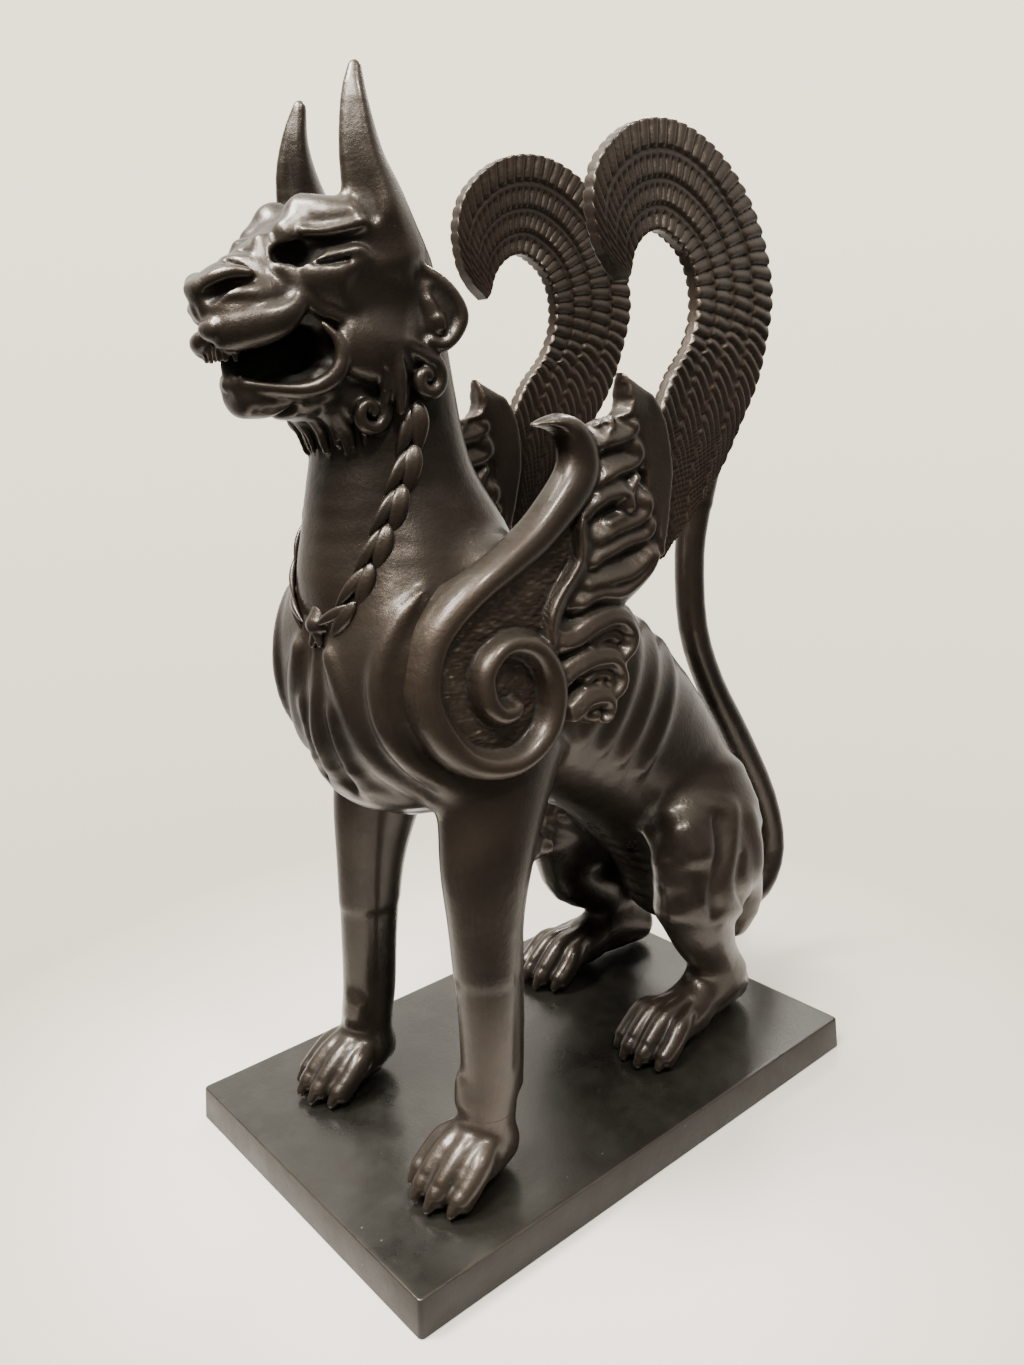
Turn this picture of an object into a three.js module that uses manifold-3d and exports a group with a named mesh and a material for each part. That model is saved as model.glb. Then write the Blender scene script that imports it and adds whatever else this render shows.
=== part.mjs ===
// Seated winged griffin, cast in one, on its flat rectangular plinth.
// Millimetres, +Z up. The origin is the middle of the plinth's underside, and the figure faces -Y.
import * as THREE from 'three';
import { mergeVertices } from 'three/addons/utils/BufferGeometryUtils.js';
import Module from 'manifold-3d';

const wasm = await Module();
wasm.setup();

// Plinth
const plinthLength = 490;
const plinthWidth = 320;
const plinthThickness = 30;
const plinthDraft = 2; // how far the foot of each side stands out past the top
const plinthCornerRadius = 4;

// Figure: its pose and carving are laid out in parts, 784 to its height
const figureHeight = 784;
const part = figureHeight / 784;
const pawGap = 0.3; // clearance between the paws and the plinth

// Wings: flat cast blades that lean in towards the top
const wingThickness = 14;
const wingLean = 0.062; // inward run for each part of rise
const wingFootX = 99; // outer face of the blade, at the height of the lowest feather
const wingFootZ = 456;

const bronze = new THREE.MeshStandardMaterial({ color: 0x3a312b, roughness: 0.38, metalness: 0.85 });
const darkBronze = new THREE.MeshStandardMaterial({ color: 0x2e2b28, roughness: 0.45, metalness: 0.85 });

// A closed solid from a geometry, and back
function solidOf(geometry) {
  const plain = geometry.index ? geometry.toNonIndexed() : geometry.clone();
  plain.deleteAttribute('normal');
  plain.deleteAttribute('uv');
  const merged = mergeVertices(plain, 1e-5);
  return new wasm.Manifold(new wasm.Mesh({
    numProp: 3,
    vertProperties: new Float32Array(merged.attributes.position.array),
    triVerts: new Uint32Array(merged.index.array),
  }));
}

function geometryOf(solid) {
  const { vertProperties, triVerts, numProp } = solid.getMesh();
  const positions = new Float32Array((vertProperties.length / numProp) * 3);
  for (let i = 0; i < positions.length / 3; i++) {
    for (let k = 0; k < 3; k++) positions[i * 3 + k] = vertProperties[i * numProp + k];
  }
  const geometry = new THREE.BufferGeometry();
  geometry.setAttribute('position', new THREE.BufferAttribute(positions, 3));
  geometry.setIndex([...triVerts]);
  return geometry;
}

// Rows of rings, each a list of points, closed by a point at either end
function ringsToGeometry(rings, firstPole, lastPole) {
  const positions = [];
  const index = [];
  const count = rings[0].length;
  rings.forEach((ring) => ring.forEach((p) => positions.push(p.x, p.y, p.z)));
  for (let i = 0; i < rings.length - 1; i++) {
    for (let j = 0; j < count; j++) {
      const a = i * count + j;
      const b = i * count + ((j + 1) % count);
      index.push(a, b, a + count, b, b + count, a + count);
    }
  }
  const first = rings.length * count;
  positions.push(firstPole.x, firstPole.y, firstPole.z, lastPole.x, lastPole.y, lastPole.z);
  const base = (rings.length - 1) * count;
  for (let j = 0; j < count; j++) {
    const next = (j + 1) % count;
    index.push(first, next, j, first + 1, base + j, base + next);
  }
  const geometry = new THREE.BufferGeometry();
  geometry.setAttribute('position', new THREE.Float32BufferAttribute(positions, 3));
  geometry.setIndex(index);
  return geometry;
}

// A round form: oval sections on a smooth path. Each row is [x, y, z, half width, half depth]:
// the width runs sideways, as near to X as the path allows, and the depth across it.
// Both ends close in a dome, its length a share of the end section's depth. A small form ends in a point.
function form(rows, { sides = 10, dome = 0.7, square = 2, flip = 1, small = false } = {}) {
  const path = new THREE.CatmullRomCurve3(rows.map(([x, y, z]) => new THREE.Vector3(x * flip, y, z)));
  path.curveType = 'catmullrom';
  const sizes = new THREE.CatmullRomCurve3(rows.map(([, , , w, d]) => new THREE.Vector3(w, d, 0)));
  sizes.curveType = 'catmullrom';
  const pieces = rows.length - 1;
  const turn = (2 * Math.PI) / sides;
  const swell = Math.sqrt(turn / Math.sin(turn)); // a ring of flat sides keeps the oval's area
  const ringAt = (t, scale, push) => {
    const centre = path.getPoint(t);
    const along = path.getTangent(t);
    const side = new THREE.Vector3(1, 0, 0).addScaledVector(along, -along.x).normalize();
    const across = new THREE.Vector3().crossVectors(along, side);
    const { x: w, y: d } = sizes.getPoint(t);
    centre.addScaledVector(along, push * d);
    const ring = [];
    for (let j = 0; j < sides; j++) {
      const c = Math.cos(turn * (j + 0.5));
      const s = Math.sin(turn * (j + 0.5));
      const u = Math.sign(c) * Math.abs(c) ** (2 / square) * w * scale * swell;
      const v = Math.sign(s) * Math.abs(s) ** (2 / square) * d * scale * swell;
      ring.push(centre.clone().addScaledVector(side, u).addScaledVector(across, v));
    }
    return { ring, centre };
  };
  const rings = [];
  if (!small) rings.push(ringAt(0, 0.7, -dome * 0.7).ring);
  for (let i = 0; i <= pieces; i++) rings.push(ringAt(i / pieces, 1, 0).ring);
  if (!small) rings.push(ringAt(1, 0.7, dome * 0.7).ring);
  const geometry = ringsToGeometry(rings, ringAt(0, 1, -dome).centre, ringAt(1, 1, dome).centre);
  return solidOf(geometry);
}

const bothSides = (rows, options) => [form(rows, options), form(rows, { ...options, flip: -1 })];
const joined = (solids) => solids.reduce((sum, solid) => sum.add(solid));

// Trunk: chest, barrel and rump
function trunk() {
  return [
    form([
      [0, -150, 380, 68, 66],
      [0, -114, 382, 83, 88],
      [0, -62, 376, 87, 98],
      [0, -10, 360, 85, 98],
      [0, 50, 326, 80, 92],
      [0, 108, 282, 76, 84],
      [0, 156, 226, 74, 76],
      [0, 190, 166, 70, 64],
      [0, 202, 108, 60, 50],
    ], { sides: 14, square: 2.3, dome: 0.8 }),
  ];
}

// Neck, rising from the shoulders into the skull
function neck() {
  return [
    form([
      [0, -92, 400, 74, 96],
      [0, -106, 450, 64, 88],
      [0, -114, 490, 55, 78],
      [0, -120, 540, 48, 60],
      [0, -124, 590, 46, 52],
      [0, -128, 640, 44, 46],
    ], { sides: 12, small: true }),
  ];
}

// Head: skull and muzzle, lower jaw, lips, brows and jowls. The open mouth is cut across, round the tongue.
function head() {
  const skull = form([
    [0, -114, 648, 44, 50],
    [0, -134, 650, 53, 59],
    [0, -158, 652, 54, 55],
    [0, -182, 652, 47, 43],
    [0, -206, 648, 34, 31],
    [0, -232, 642, 24, 21],
    [0, -252, 641, 18, 12],
  ], { sides: 14, dome: 0.6 });
  const jaw = form([
    [0, -146, 604, 46, 34],
    [0, -182, 592, 41, 24],
    [0, -211, 588, 30, 16],
    [0, -232, 590, 18, 13],
  ], { sides: 10, small: true });
  const tongue = form([
    [0, -150, 616, 30, 26],
    [0, -190, 608, 22, 15],
    [0, -216, 603, 14, 8],
  ], { sides: 8, small: true });
  const eased = { sides: 6, small: true, dome: 1.2 };
  const lips = bothSides([[27, -204, 631, 14, 15], [19, -232, 631, 15, 17], [13, -246, 630, 10, 13]], eased);
  const brows = bothSides([[15, -208, 679, 8, 7], [24, -190, 688, 13, 10], [40, -168, 688, 11, 9]], eased);
  const jowls = bothSides([[45, -178, 610, 8, 18], [42, -154, 614, 14, 25], [38, -126, 622, 14, 28]], eased);
  const opening = new THREE.Shape([
    [-275, 606], [-275, 614], [-246, 612], [-220, 615], [-202, 627],
    [-189, 623], [-182, 611], [-190, 600], [-212, 598], [-238, 603],
  ].map(([y, z]) => new THREE.Vector2(y, z)));
  const mouth = new THREE.ExtrudeGeometry(opening, { depth: 140, bevelEnabled: false });
  mouth.rotateX(Math.PI / 2).rotateZ(Math.PI / 2).translate(-70, 0, 0);
  return joined([skull, jaw, ...lips, ...brows, ...jowls]).subtract(solidOf(mouth)).add(tongue);
}

// Tall pointed ears, each with a channel down its front, and the small rolled ears behind the cheeks
function ears() {
  const tall = (tipZ) => [
    [42, -136, 668, 18, 26],
    [42, -146, 700, 16, 20],
    [40, -153, 726, 13, 14],
    [37, -154, tipZ - 25, 9, 8],
    [34, -150, tipZ - 4, 5, 4],
  ];
  const channel = [
    [52, -168, 700, 8, 10],
    [48, -170, 728, 7, 8],
    [43, -166, 756, 4, 5],
  ];
  const earTips = [[1, 784], [-1, 774]];
  const tallPair = earTips.map(([flip, tipZ]) => form(tall(tipZ), { sides: 8, small: true, dome: 1, flip })
    .subtract(form(channel, { sides: 6, flip, small: true })));
  const rolled = [
    [48, -118, 654, 6, 8],
    [54, -110, 641, 9, 14],
    [55, -111, 624, 9, 12],
  ];
  return [...tallPair, ...bothSides(rolled, { sides: 6, small: true, dome: 1 })];
}

// A hair curl: a stem that winds up in the plane of the cheek
function curl(x, y, z, radius, turn, flip) {
  const rows = [];
  const count = 7;
  for (let i = 0; i < count; i++) {
    const share = i / (count - 1);
    const angle = turn * (Math.PI * 0.5 - share * Math.PI * 1.9);
    const reach = radius * (1.9 - 1.6 * share) * (share < 0.15 ? 1.15 : 1);
    rows.push([x + 3 * share, y + Math.cos(angle) * reach, z + Math.sin(angle) * reach, 6, radius * 0.36]);
  }
  return form(rows, { sides: 4, small: true, flip });
}

// Mane below the jaw: two wound curls a side with a straight lock between them, and a short beard
function mane() {
  const locks = [];
  const straight = [[46, -143, 606, 7, 7], [51, -143, 590, 7, 7], [50, -143, 570, 4, 4]];
  const beard = [[0, -176, 592, 26, 12], [0, -180, 570, 22, 9], [0, -178, 548, 12, 5]];
  for (const flip of [1, -1]) {
    locks.push(curl(40, -165, 574, 10, -1, flip));
    locks.push(curl(50, -124, 592, 10, 1, flip));
    locks.push(form(straight, { sides: 4, small: true, flip }));
  }
  locks.push(form(beard, { sides: 8, small: true }));
  return locks;
}

// Garland of leaves from behind each jaw down to a knot on the breast
function garland() {
  const leaves = [];
  const hang = new THREE.CatmullRomCurve3([
    new THREE.Vector3(50, -128, 572),
    new THREE.Vector3(47, -146, 532),
    new THREE.Vector3(46, -163, 496),
    new THREE.Vector3(36, -184, 458),
    new THREE.Vector3(4, -197, 424),
  ]);
  const count = 6;
  for (let i = 0; i < count; i++) {
    const start = hang.getPoint(i / count);
    const middle = hang.getPoint((i + 0.45) / count);
    const end = hang.getPoint((i + 1.12) / count > 1 ? 1 : (i + 1.12) / count);
    const rows = [
      [start.x, start.y, start.z, 4, 4],
      [middle.x + 1, middle.y - 1, middle.z, 6, 9],
      [end.x, end.y, end.z, 3, 3],
    ];
    leaves.push(...bothSides(rows, { sides: 4, small: true }));
  }
  leaves.push(form([[0, -194, 434, 9, 8], [0, -197, 418, 7, 7]], { sides: 6, small: true, dome: 1 }));
  return leaves;
}

// A paw: four toes side by side, their knuckles raised and the furrows between them deepening to the front.
// Each row is [run forward, height, half width, furrow as a share of the height].
function paw(x, y, rows, flip) {
  const toeCount = 4;
  const soleDepth = -6; // under the ground, where the sole is cut flat
  const rings = rows.map(([run, high, half, furrow], row) => {
    const front = row / (rows.length - 1);
    const ring = [];
    for (let j = 0; j <= 2 * toeCount; j++) {
      const u = 1 - j / toeCount;
      const between = j % 2 === 0 ? 1 : 0;
      const reach = run - front * (9 * u * u + 7 * between);
      const rise = high * (1 - 0.3 * u * u) * (1 - furrow * between);
      ring.push(new THREE.Vector3((x + u * half) * flip, y - reach, rise));
    }
    for (const u of [-0.9, 0.9]) {
      ring.push(new THREE.Vector3((x + u * half) * flip, y - run + 9 * front, soleDepth));
    }
    return flip > 0 ? ring : ring.reverse();
  });
  const poleAt = (run) => new THREE.Vector3(x * flip, y - run, 2);
  return solidOf(ringsToGeometry(rings, poleAt(rows[0][0]), poleAt(rows.at(-1)[0] + 1)));
}

// Forelegs: straight columns from the shoulder, with the elbow's point behind and the wrist in front
function foreleg(x, y, flip) {
  const shoulderX = x * 0.88;
  const rows = [
    [shoulderX - 12, -86, 330, 30, 62],
    [shoulderX - 6, -98, 285, 30, 46],
    [shoulderX, y + 14, 245, 28, 37],
    [shoulderX + 4, y + 8, 200, 25, 29],
    [x - 2, y + 4, 140, 23, 25],
    [x, y + 1, 84, 21, 24],
    [x, y - 3, 60, 21, 23],
    [x, y - 8, 34, 23, 24],
  ];
  const elbow = [[shoulderX - 2, -88, 250, 15, 22], [shoulderX - 4, -66, 240, 9, 12]];
  const pawRows = [
    [-22, 34, 17, 0],
    [8, 44, 25, 0.1],
    [36, 36, 30, 0.25],
    [58, 25, 31, 0.35],
    [74, 11, 28, 0.4],
  ];
  return [
    form(rows, { sides: 10, small: true, flip }),
    form(elbow, { sides: 6, small: true, dome: 1, flip }),
    paw(x, y, pawRows, flip),
  ];
}

// Hind legs: the folded thigh, the shank down to the heel and the long flat foot
function hindleg(x, y, flip) {
  const thigh = [
    [56, 178, 240, 24, 44],
    [68, 166, 198, 34, 68],
    [80, 146, 164, 33, 68],
    [86, 136, 128, 27, 54],
  ];
  const rear = [[58, 206, 150, 28, 34], [62, 212, 104, 26, 28], [62, 206, 78, 18, 20]];
  const shank = [
    [86, 116, 150, 25, 40],
    [84, 138, 108, 23, 36],
    [x, y + 82, 70, 21, 27],
    [x, y + 96, 36, 20, 32],
  ];
  const foot = [[x - 8, y + 122, 22, 18, 20], [x - 4, y + 84, 30, 22, 28], [x, y + 40, 28, 25, 22]];
  const pawRows = [
    [-50, 40, 18, 0],
    [-26, 46, 27, 0.1],
    [0, 38, 32, 0.25],
    [14, 26, 33, 0.35],
    [24, 11, 30, 0.4],
  ];
  return [
    form(thigh, { sides: 10, dome: 0.5, small: true, flip }),
    form(rear, { sides: 8, small: true, flip }),
    form(shank, { sides: 8, small: true, flip }),
    form(foot, { sides: 8, small: true, flip }),
    paw(x, y, pawRows, flip),
  ];
}

// Tail: out from under the rump, up in a long curve and into a flame-shaped tuft
function tail() {
  return [
    form([
      [0, 236, 76, 20, 20],
      [4, 278, 54, 17, 17],
      [8, 322, 60, 16, 16],
      [8, 342, 98, 16, 16],
      [6, 328, 160, 15, 15],
      [2, 286, 236, 15, 15],
      [0, 246, 300, 14, 14],
      [0, 220, 360, 14, 14],
      [0, 214, 430, 14, 14],
      [0, 222, 478, 15, 15],
      [0, 232, 520, 18, 26],
      [0, 236, 560, 15, 24],
      [0, 232, 604, 6, 8],
    ], { sides: 6, small: true, dome: 2 }),
  ];
}

// Outer face of a wing at a height
const wingX = (z) => wingFootX - wingLean * (z - wingFootZ);

// A wing's blade: its centre line, with the half width there, runs from the lower feathers to the hooked tip
const bladeLine = [
  [92, 492, 32],
  [108, 540, 38],
  [129, 572, 46],
  [152, 604, 49],
  [166, 645, 49],
  [162, 680, 47],
  [146, 706, 45],
  [113, 727, 44],
  [78, 734, 41],
  [42, 716, 33],
  [30, 688, 20],
  [36, 668, 9],
];

function blade(flip) {
  const line = new THREE.CatmullRomCurve3(bladeLine.map(([y, z]) => new THREE.Vector3(0, y, z)));
  const widths = new THREE.CatmullRomCurve3(bladeLine.map(([, , w]) => new THREE.Vector3(w, 0, 0)));
  line.curveType = 'catmullrom';
  widths.curveType = 'catmullrom';
  const bands = 4;
  const stations = 19;
  const relief = 3;
  const rings = [];
  for (let i = 0; i <= stations; i++) {
    const t = i / stations;
    const centre = line.getPoint(t);
    const along = line.getTangent(t);
    const out = new THREE.Vector3(0, along.z, -along.y);
    const half = widths.getPoint(t).x;
    const barb = i % 2 ? 1 : 0.45;
    const outer = [];
    const inner = [];
    for (let j = 0; j <= bands * 2; j++) {
      const across = 1 - j / bands;
      const crest = j % 2 ? relief * barb : 0;
      const place = centre.clone().addScaledVector(out, across * half);
      const face = wingX(place.z) - relief;
      outer.push(new THREE.Vector3(flip * (face + crest), place.y, place.z));
      inner.push(new THREE.Vector3(flip * (face + relief * 2 - wingThickness - crest), place.y, place.z));
    }
    const ring = [...outer, ...inner.reverse()];
    rings.push(flip > 0 ? ring.reverse() : ring);
  }
  const poleAt = (t) => {
    const place = line.getPoint(t);
    return new THREE.Vector3(flip * (wingX(place.z) - wingThickness / 2), place.y, place.z);
  };
  const tip = new THREE.Vector3(flip * (wingX(657) - wingThickness / 2), 40, 657);
  return solidOf(ringsToGeometry(rings, poleAt(0), tip));
}

// A flat plate cut to an outline in the wing's plane, its faces leaning with the wing
function plate(outline, depth, proud, flip) {
  const shape = new THREE.Shape(outline.map(([y, z]) => new THREE.Vector2(y, z)));
  const geometry = new THREE.ExtrudeGeometry(shape, { depth, bevelEnabled: false, curveSegments: 6 });
  const p = geometry.attributes.position;
  for (let i = 0; i < p.count; i++) {
    const y = p.getX(i);
    const z = p.getY(i);
    const x = wingX(z) + proud - depth + p.getZ(i);
    p.setXYZ(i, x * flip, y, z);
  }
  if (flip < 0) {
    for (let i = 0; i < p.count; i += 3) {
      const keep = [p.getX(i + 1), p.getY(i + 1), p.getZ(i + 1)];
      p.setXYZ(i + 1, p.getX(i + 2), p.getY(i + 2), p.getZ(i + 2));
      p.setXYZ(i + 2, ...keep);
    }
  }
  return solidOf(geometry);
}

// The smooth crescent between the feathers and the leaves
const crescent = [
  [25, 592], [40, 589], [54, 583], [66, 575], [76, 559], [82, 540], [83, 522],
  [80, 504], [75, 481], [69, 455], [62, 466], [30, 470], [20, 520], [0, 556], [11, 561], [19, 570], [23, 578],
];

// The ground of the scroll and of the leaves, set back from the raised work
const ground = [
  [-160, 392], [-144, 432], [-84, 470], [-34, 506], [-22, 546], [4, 556],
  [36, 540], [52, 490], [58, 456], [22, 410], [-10, 348], [-44, 342], [-80, 320], [-118, 322], [-150, 350],
];

// Scroll band: down from its horn and round into the volute
function scroll(flip) {
  const bandSunk = 4;
  const rows = [
    [-52, 560, 4, 4],
    [-38, 560, 7, 8],
    [-24, 554, 10, 12],
    [-17, 540, 12, 16],
    [-20, 522, 12, 16],
    [-36, 503, 12, 14],
    [-62, 485, 12, 13],
    [-92, 469, 12, 12],
    [-120, 454, 12, 11],
    [-143, 436, 12, 11],
    [-157, 414, 12, 11],
  ].map(([y, z, w, d]) => [wingX(z) - bandSunk, y, z, w, d]);
  const turns = 11;
  for (let i = 0; i <= turns; i++) {
    const share = i / turns;
    const angle = Math.PI * (1 + share * 2.45);
    const reach = 62 - 49 * share;
    const y = -98 + Math.cos(angle) * reach;
    const z = 378 + Math.sin(angle) * reach * 0.92;
    rows.push([wingX(z) - bandSunk, y, z, 12 - 4 * share, 11.5 - 4.5 * share]);
  }
  return form(rows, { sides: 5, small: true, dome: 0.8, flip });
}

// Acanthus between the scroll and the crescent: S-shaped lobes above, round curls below.
// Each lobe is [foot y, foot z, tip y, tip z], and between two lobes the edge falls back and the face sinks.
const lobes = [
  [-4, 524, 42, 552],
  [-6, 502, 46, 530],
  [-10, 480, 50, 508],
  [-18, 458, 56, 488],
  [-26, 436, 64, 464],
  [-38, 410, 32, 420],
  [-44, 384, 20, 388],
  [-46, 356, 2, 356],
];

function frond(flip) {
  const relief = 5;
  const sunk = -3;
  const notch = 9;
  const rings = [];
  const ringAt = (footY, footZ, tipY, tipZ, proud) => {
    const at = (share, rise, x) => {
      const z = footZ + (tipZ - footZ) * share + rise;
      return new THREE.Vector3(flip * (wingX(z) + x), footY + (tipY - footY) * share, z);
    };
    const ring = [
      at(1, 0, proud - 5), at(0.75, 0, proud), at(0.3, 0, proud * 0.7), at(0, 0, -6),
      at(0, 0, -24), at(1, 0, -20),
    ];
    return flip > 0 ? ring : ring.reverse();
  };
  lobes.forEach((lobe, i) => {
    rings.push(ringAt(...lobe, relief));
    if (i === lobes.length - 1) return;
    const between = lobe.map((value, k) => (value + lobes[i + 1][k]) / 2);
    between[2] -= notch;
    rings.push(ringAt(...between, sunk));
  });
  const poleAt = (y, z) => new THREE.Vector3(flip * (wingX(z) - 12), y, z);
  return solidOf(ringsToGeometry(rings, poleAt(14, 552), poleAt(-24, 342)));
}

// The smooth leaf inside the scroll, along the foot of the acanthus
function innerLeaf(flip) {
  const rows = [[-22, 500, 3], [-21, 470, 9], [-40, 428, 13], [-52, 394, 9]];
  return form(rows.map(([y, z, d]) => [wingX(z) - 6, y, z, 7, d]), { sides: 4, small: true, flip });
}

// A shoulder's swell in front of the scroll
function shoulder(flip) {
  return form([
    [62, -118, 452, 20, 30],
    [74, -142, 420, 19, 32],
    [77, -142, 380, 19, 36],
    [75, -116, 338, 20, 40],
  ], { sides: 8, small: true, flip });
}

function wing(flip) {
  return joined([
    blade(flip),
    plate(crescent, 12, 2, flip),
    plate(ground, 30, -7, flip),
    scroll(flip),
    innerLeaf(flip),
    shoulder(flip),
    frond(flip),
  ]);
}

function griffin() {
  const body = joined([...trunk(), ...neck(), ...tail()]);
  const face = joined([head(), ...ears(), ...mane(), ...garland()]);
  const legs = joined([
    ...foreleg(93, -124, 1),
    ...foreleg(78, -120, -1),
    ...hindleg(78, 76, 1),
    ...hindleg(82, 100, -1),
  ]);
  const whole = joined([body, face, legs, wing(1), wing(-1)]);
  const underPaws = solidOf(new THREE.BoxGeometry(2000, 2000, 400).translate(0, 0, -200));
  return whole.subtract(underPaws);
}

function plinth() {
  const rectangle = (length, width, radius) => {
    const shape = new THREE.Shape();
    const y = length / 2;
    const x = width / 2;
    shape.moveTo(-x + radius, -y);
    shape.lineTo(x - radius, -y);
    shape.absarc(x - radius, -y + radius, radius, -Math.PI / 2, 0);
    shape.lineTo(x, y - radius);
    shape.absarc(x - radius, y - radius, radius, 0, Math.PI / 2);
    shape.lineTo(-x + radius, y);
    shape.absarc(-x + radius, y - radius, radius, Math.PI / 2, Math.PI);
    shape.lineTo(-x, -y + radius);
    shape.absarc(-x + radius, -y + radius, radius, Math.PI, Math.PI * 1.5);
    return shape;
  };
  const shape = rectangle(plinthLength, plinthWidth, plinthCornerRadius);
  const options = { depth: plinthThickness, bevelEnabled: false, curveSegments: 4 };
  const geometry = new THREE.ExtrudeGeometry(shape, options);
  const p = geometry.attributes.position;
  for (let i = 0; i < p.count; i++) {
    const low = 1 - p.getZ(i) / plinthThickness;
    p.setX(i, p.getX(i) * (1 + (2 * plinthDraft * low) / plinthWidth));
    p.setY(i, p.getY(i) * (1 + (2 * plinthDraft * low) / plinthLength));
  }
  return solidOf(geometry);
}

const figure = new THREE.Mesh(geometryOf(griffin()), bronze);
figure.name = 'griffin';
figure.scale.setScalar(part);
figure.position.z = plinthThickness + pawGap;

const base = new THREE.Mesh(geometryOf(plinth()), darkBronze);
base.name = 'plinth';

const statue = new THREE.Group();
statue.add(figure, base);
export default statue;
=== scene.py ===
# Seated winged griffin in dark patinated bronze, on its flat plinth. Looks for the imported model.
# Shapes are laid out in parts, a fixed number to the figure's height, with z up from the plinth's top.
import math

import bmesh
import bpy
import numpy as np
import openvdb
from mathutils import Euler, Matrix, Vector


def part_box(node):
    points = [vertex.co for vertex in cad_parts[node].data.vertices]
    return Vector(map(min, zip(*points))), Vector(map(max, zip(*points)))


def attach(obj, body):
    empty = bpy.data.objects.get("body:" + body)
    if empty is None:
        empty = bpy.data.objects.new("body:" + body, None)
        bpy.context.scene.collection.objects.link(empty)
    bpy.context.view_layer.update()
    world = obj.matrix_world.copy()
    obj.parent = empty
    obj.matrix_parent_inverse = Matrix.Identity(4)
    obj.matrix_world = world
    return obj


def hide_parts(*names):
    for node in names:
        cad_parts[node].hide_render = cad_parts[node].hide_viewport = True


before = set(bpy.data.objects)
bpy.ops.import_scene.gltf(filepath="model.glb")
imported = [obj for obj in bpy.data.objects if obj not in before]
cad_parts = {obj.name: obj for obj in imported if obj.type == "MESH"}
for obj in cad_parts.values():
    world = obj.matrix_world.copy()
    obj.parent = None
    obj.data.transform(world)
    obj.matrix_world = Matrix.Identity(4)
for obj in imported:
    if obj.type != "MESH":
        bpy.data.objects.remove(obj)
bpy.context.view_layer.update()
figureLow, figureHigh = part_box("griffin")
plinthLow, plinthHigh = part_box("plinth")
partsHigh = 784
part = (figureHigh.z - figureLow.z) / partsHigh
print("frame loaded, one part is", round(part * 1000, 4), "mm")


# A socket in a material, so that sums and products of sockets can be written as expressions
class Signal:
    def __init__(self, tree, socket=None):
        self.tree = tree
        self.socket = socket

    # Any node: its settings first, then the values or links of its sockets
    def node(self, kind, settings=None, values=None, out=0):
        made = self.tree.nodes.new(kind)
        for key, value in (settings or {}).items():
            setattr(made, key, value)
        for key, value in (values or {}).items():
            if isinstance(value, Signal):
                value.feed(made.inputs[key])
            else:
                made.inputs[key].default_value = value
        return Signal(self.tree, made.outputs[out])

    def feed(self, target):
        self.tree.links.new(self.socket, target)

    def maths(self, operation, other, turned=False):
        first, second = (other, self) if turned else (self, other)
        return self.node("ShaderNodeMath", {"operation": operation}, {0: first, 1: second})

    def __add__(self, other):
        return self.maths("ADD", other)

    def __radd__(self, other):
        return self.maths("ADD", other, True)

    def __sub__(self, other):
        return self.maths("SUBTRACT", other)

    def __rsub__(self, other):
        return self.maths("SUBTRACT", other, True)

    def __mul__(self, other):
        return self.maths("MULTIPLY", other)

    def __rmul__(self, other):
        return self.maths("MULTIPLY", other, True)

    # 0 at low and below, 1 at high and above
    def clamped(self, low, high):
        return self.node("ShaderNodeMapRange", {"clamp": True}, {0: self, 1: low, 2: high, 3: 0.0, 4: 1.0})

    # The first colour where this is 0, the second where it is 1
    def mixed(self, first, second):
        return self.node("ShaderNodeMix", {"data_type": "RGBA"}, {0: self, 6: first, 7: second}, 2)

    def heightOf(self):
        return self.node("ShaderNodeSeparateXYZ", values={0: self}, out=2)


def newMaterial(name):
    made = bpy.data.materials.new(name)
    made.use_nodes = True
    tree = made.node_tree
    shader = next(n for n in tree.nodes if n.type == "BSDF_PRINCIPLED")
    return made, shader, Signal(tree).node("ShaderNodeTexCoord", out=3)


# What all the bronze has in common: the scale of each pattern, the range of it that counts, and the share
# of each layer in the colour. Names that begin with rough say how much a layer adds to the roughness
patina = {
    "broad": 7.0, "broadRange": (0.35, 0.68), "blotch": 34.0, "blotchRange": (0.42, 0.66),
    "grain": (420.0, 3.0, 0.6), "pits": (150.0, 5.0, 0.7), "specks": 75.0, "speckRange": (0.03, 0.075),
    "speckPatches": (11.0, 2.0), "patchRange": (0.6, 0.7),
    "residueClouds": 60.0, "residueRange": (0.42, 0.6),
    "dents": 230.0, "dentStretch": (1.0, 0.6, 1.3), "dentTurn": (0.6, 0.0, 0.0), "dentSmooth": 0.6,
    "bumpHeight": 0.001, "wearBlotch": 0.35, "wornAndHighlitClear": (0.1, 0.5), "lowRange": (0.1, 0.9),
    "lowShare": 0.6, "buriedRange": (0.06, 0.75), "oliveShare": 0.45, "paintedGroundLightShare": (0.35, 0.5),
    "hollowAndShadeShare": 0.92, "hollowAndShadeMetal": 0.45, "dustAndSheenSlope": (0.55, 1.0), "dustAndSheenRise": 0.2, "dustAndSheenLeast": 0.4,
    "sideShadeSlope": (0.2, 0.7), "speckShare": 0.5, "contactRise": 0.005, "residueShare": 0.65,
    "roughBroad": 0.08, "roughBlotch": 0.1, "roughHollowAndShade": 0.4, "roughWornAndHighlit": -0.08, "roughContact": 0.3,
    "roughSideShade": 0.35,
}
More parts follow.
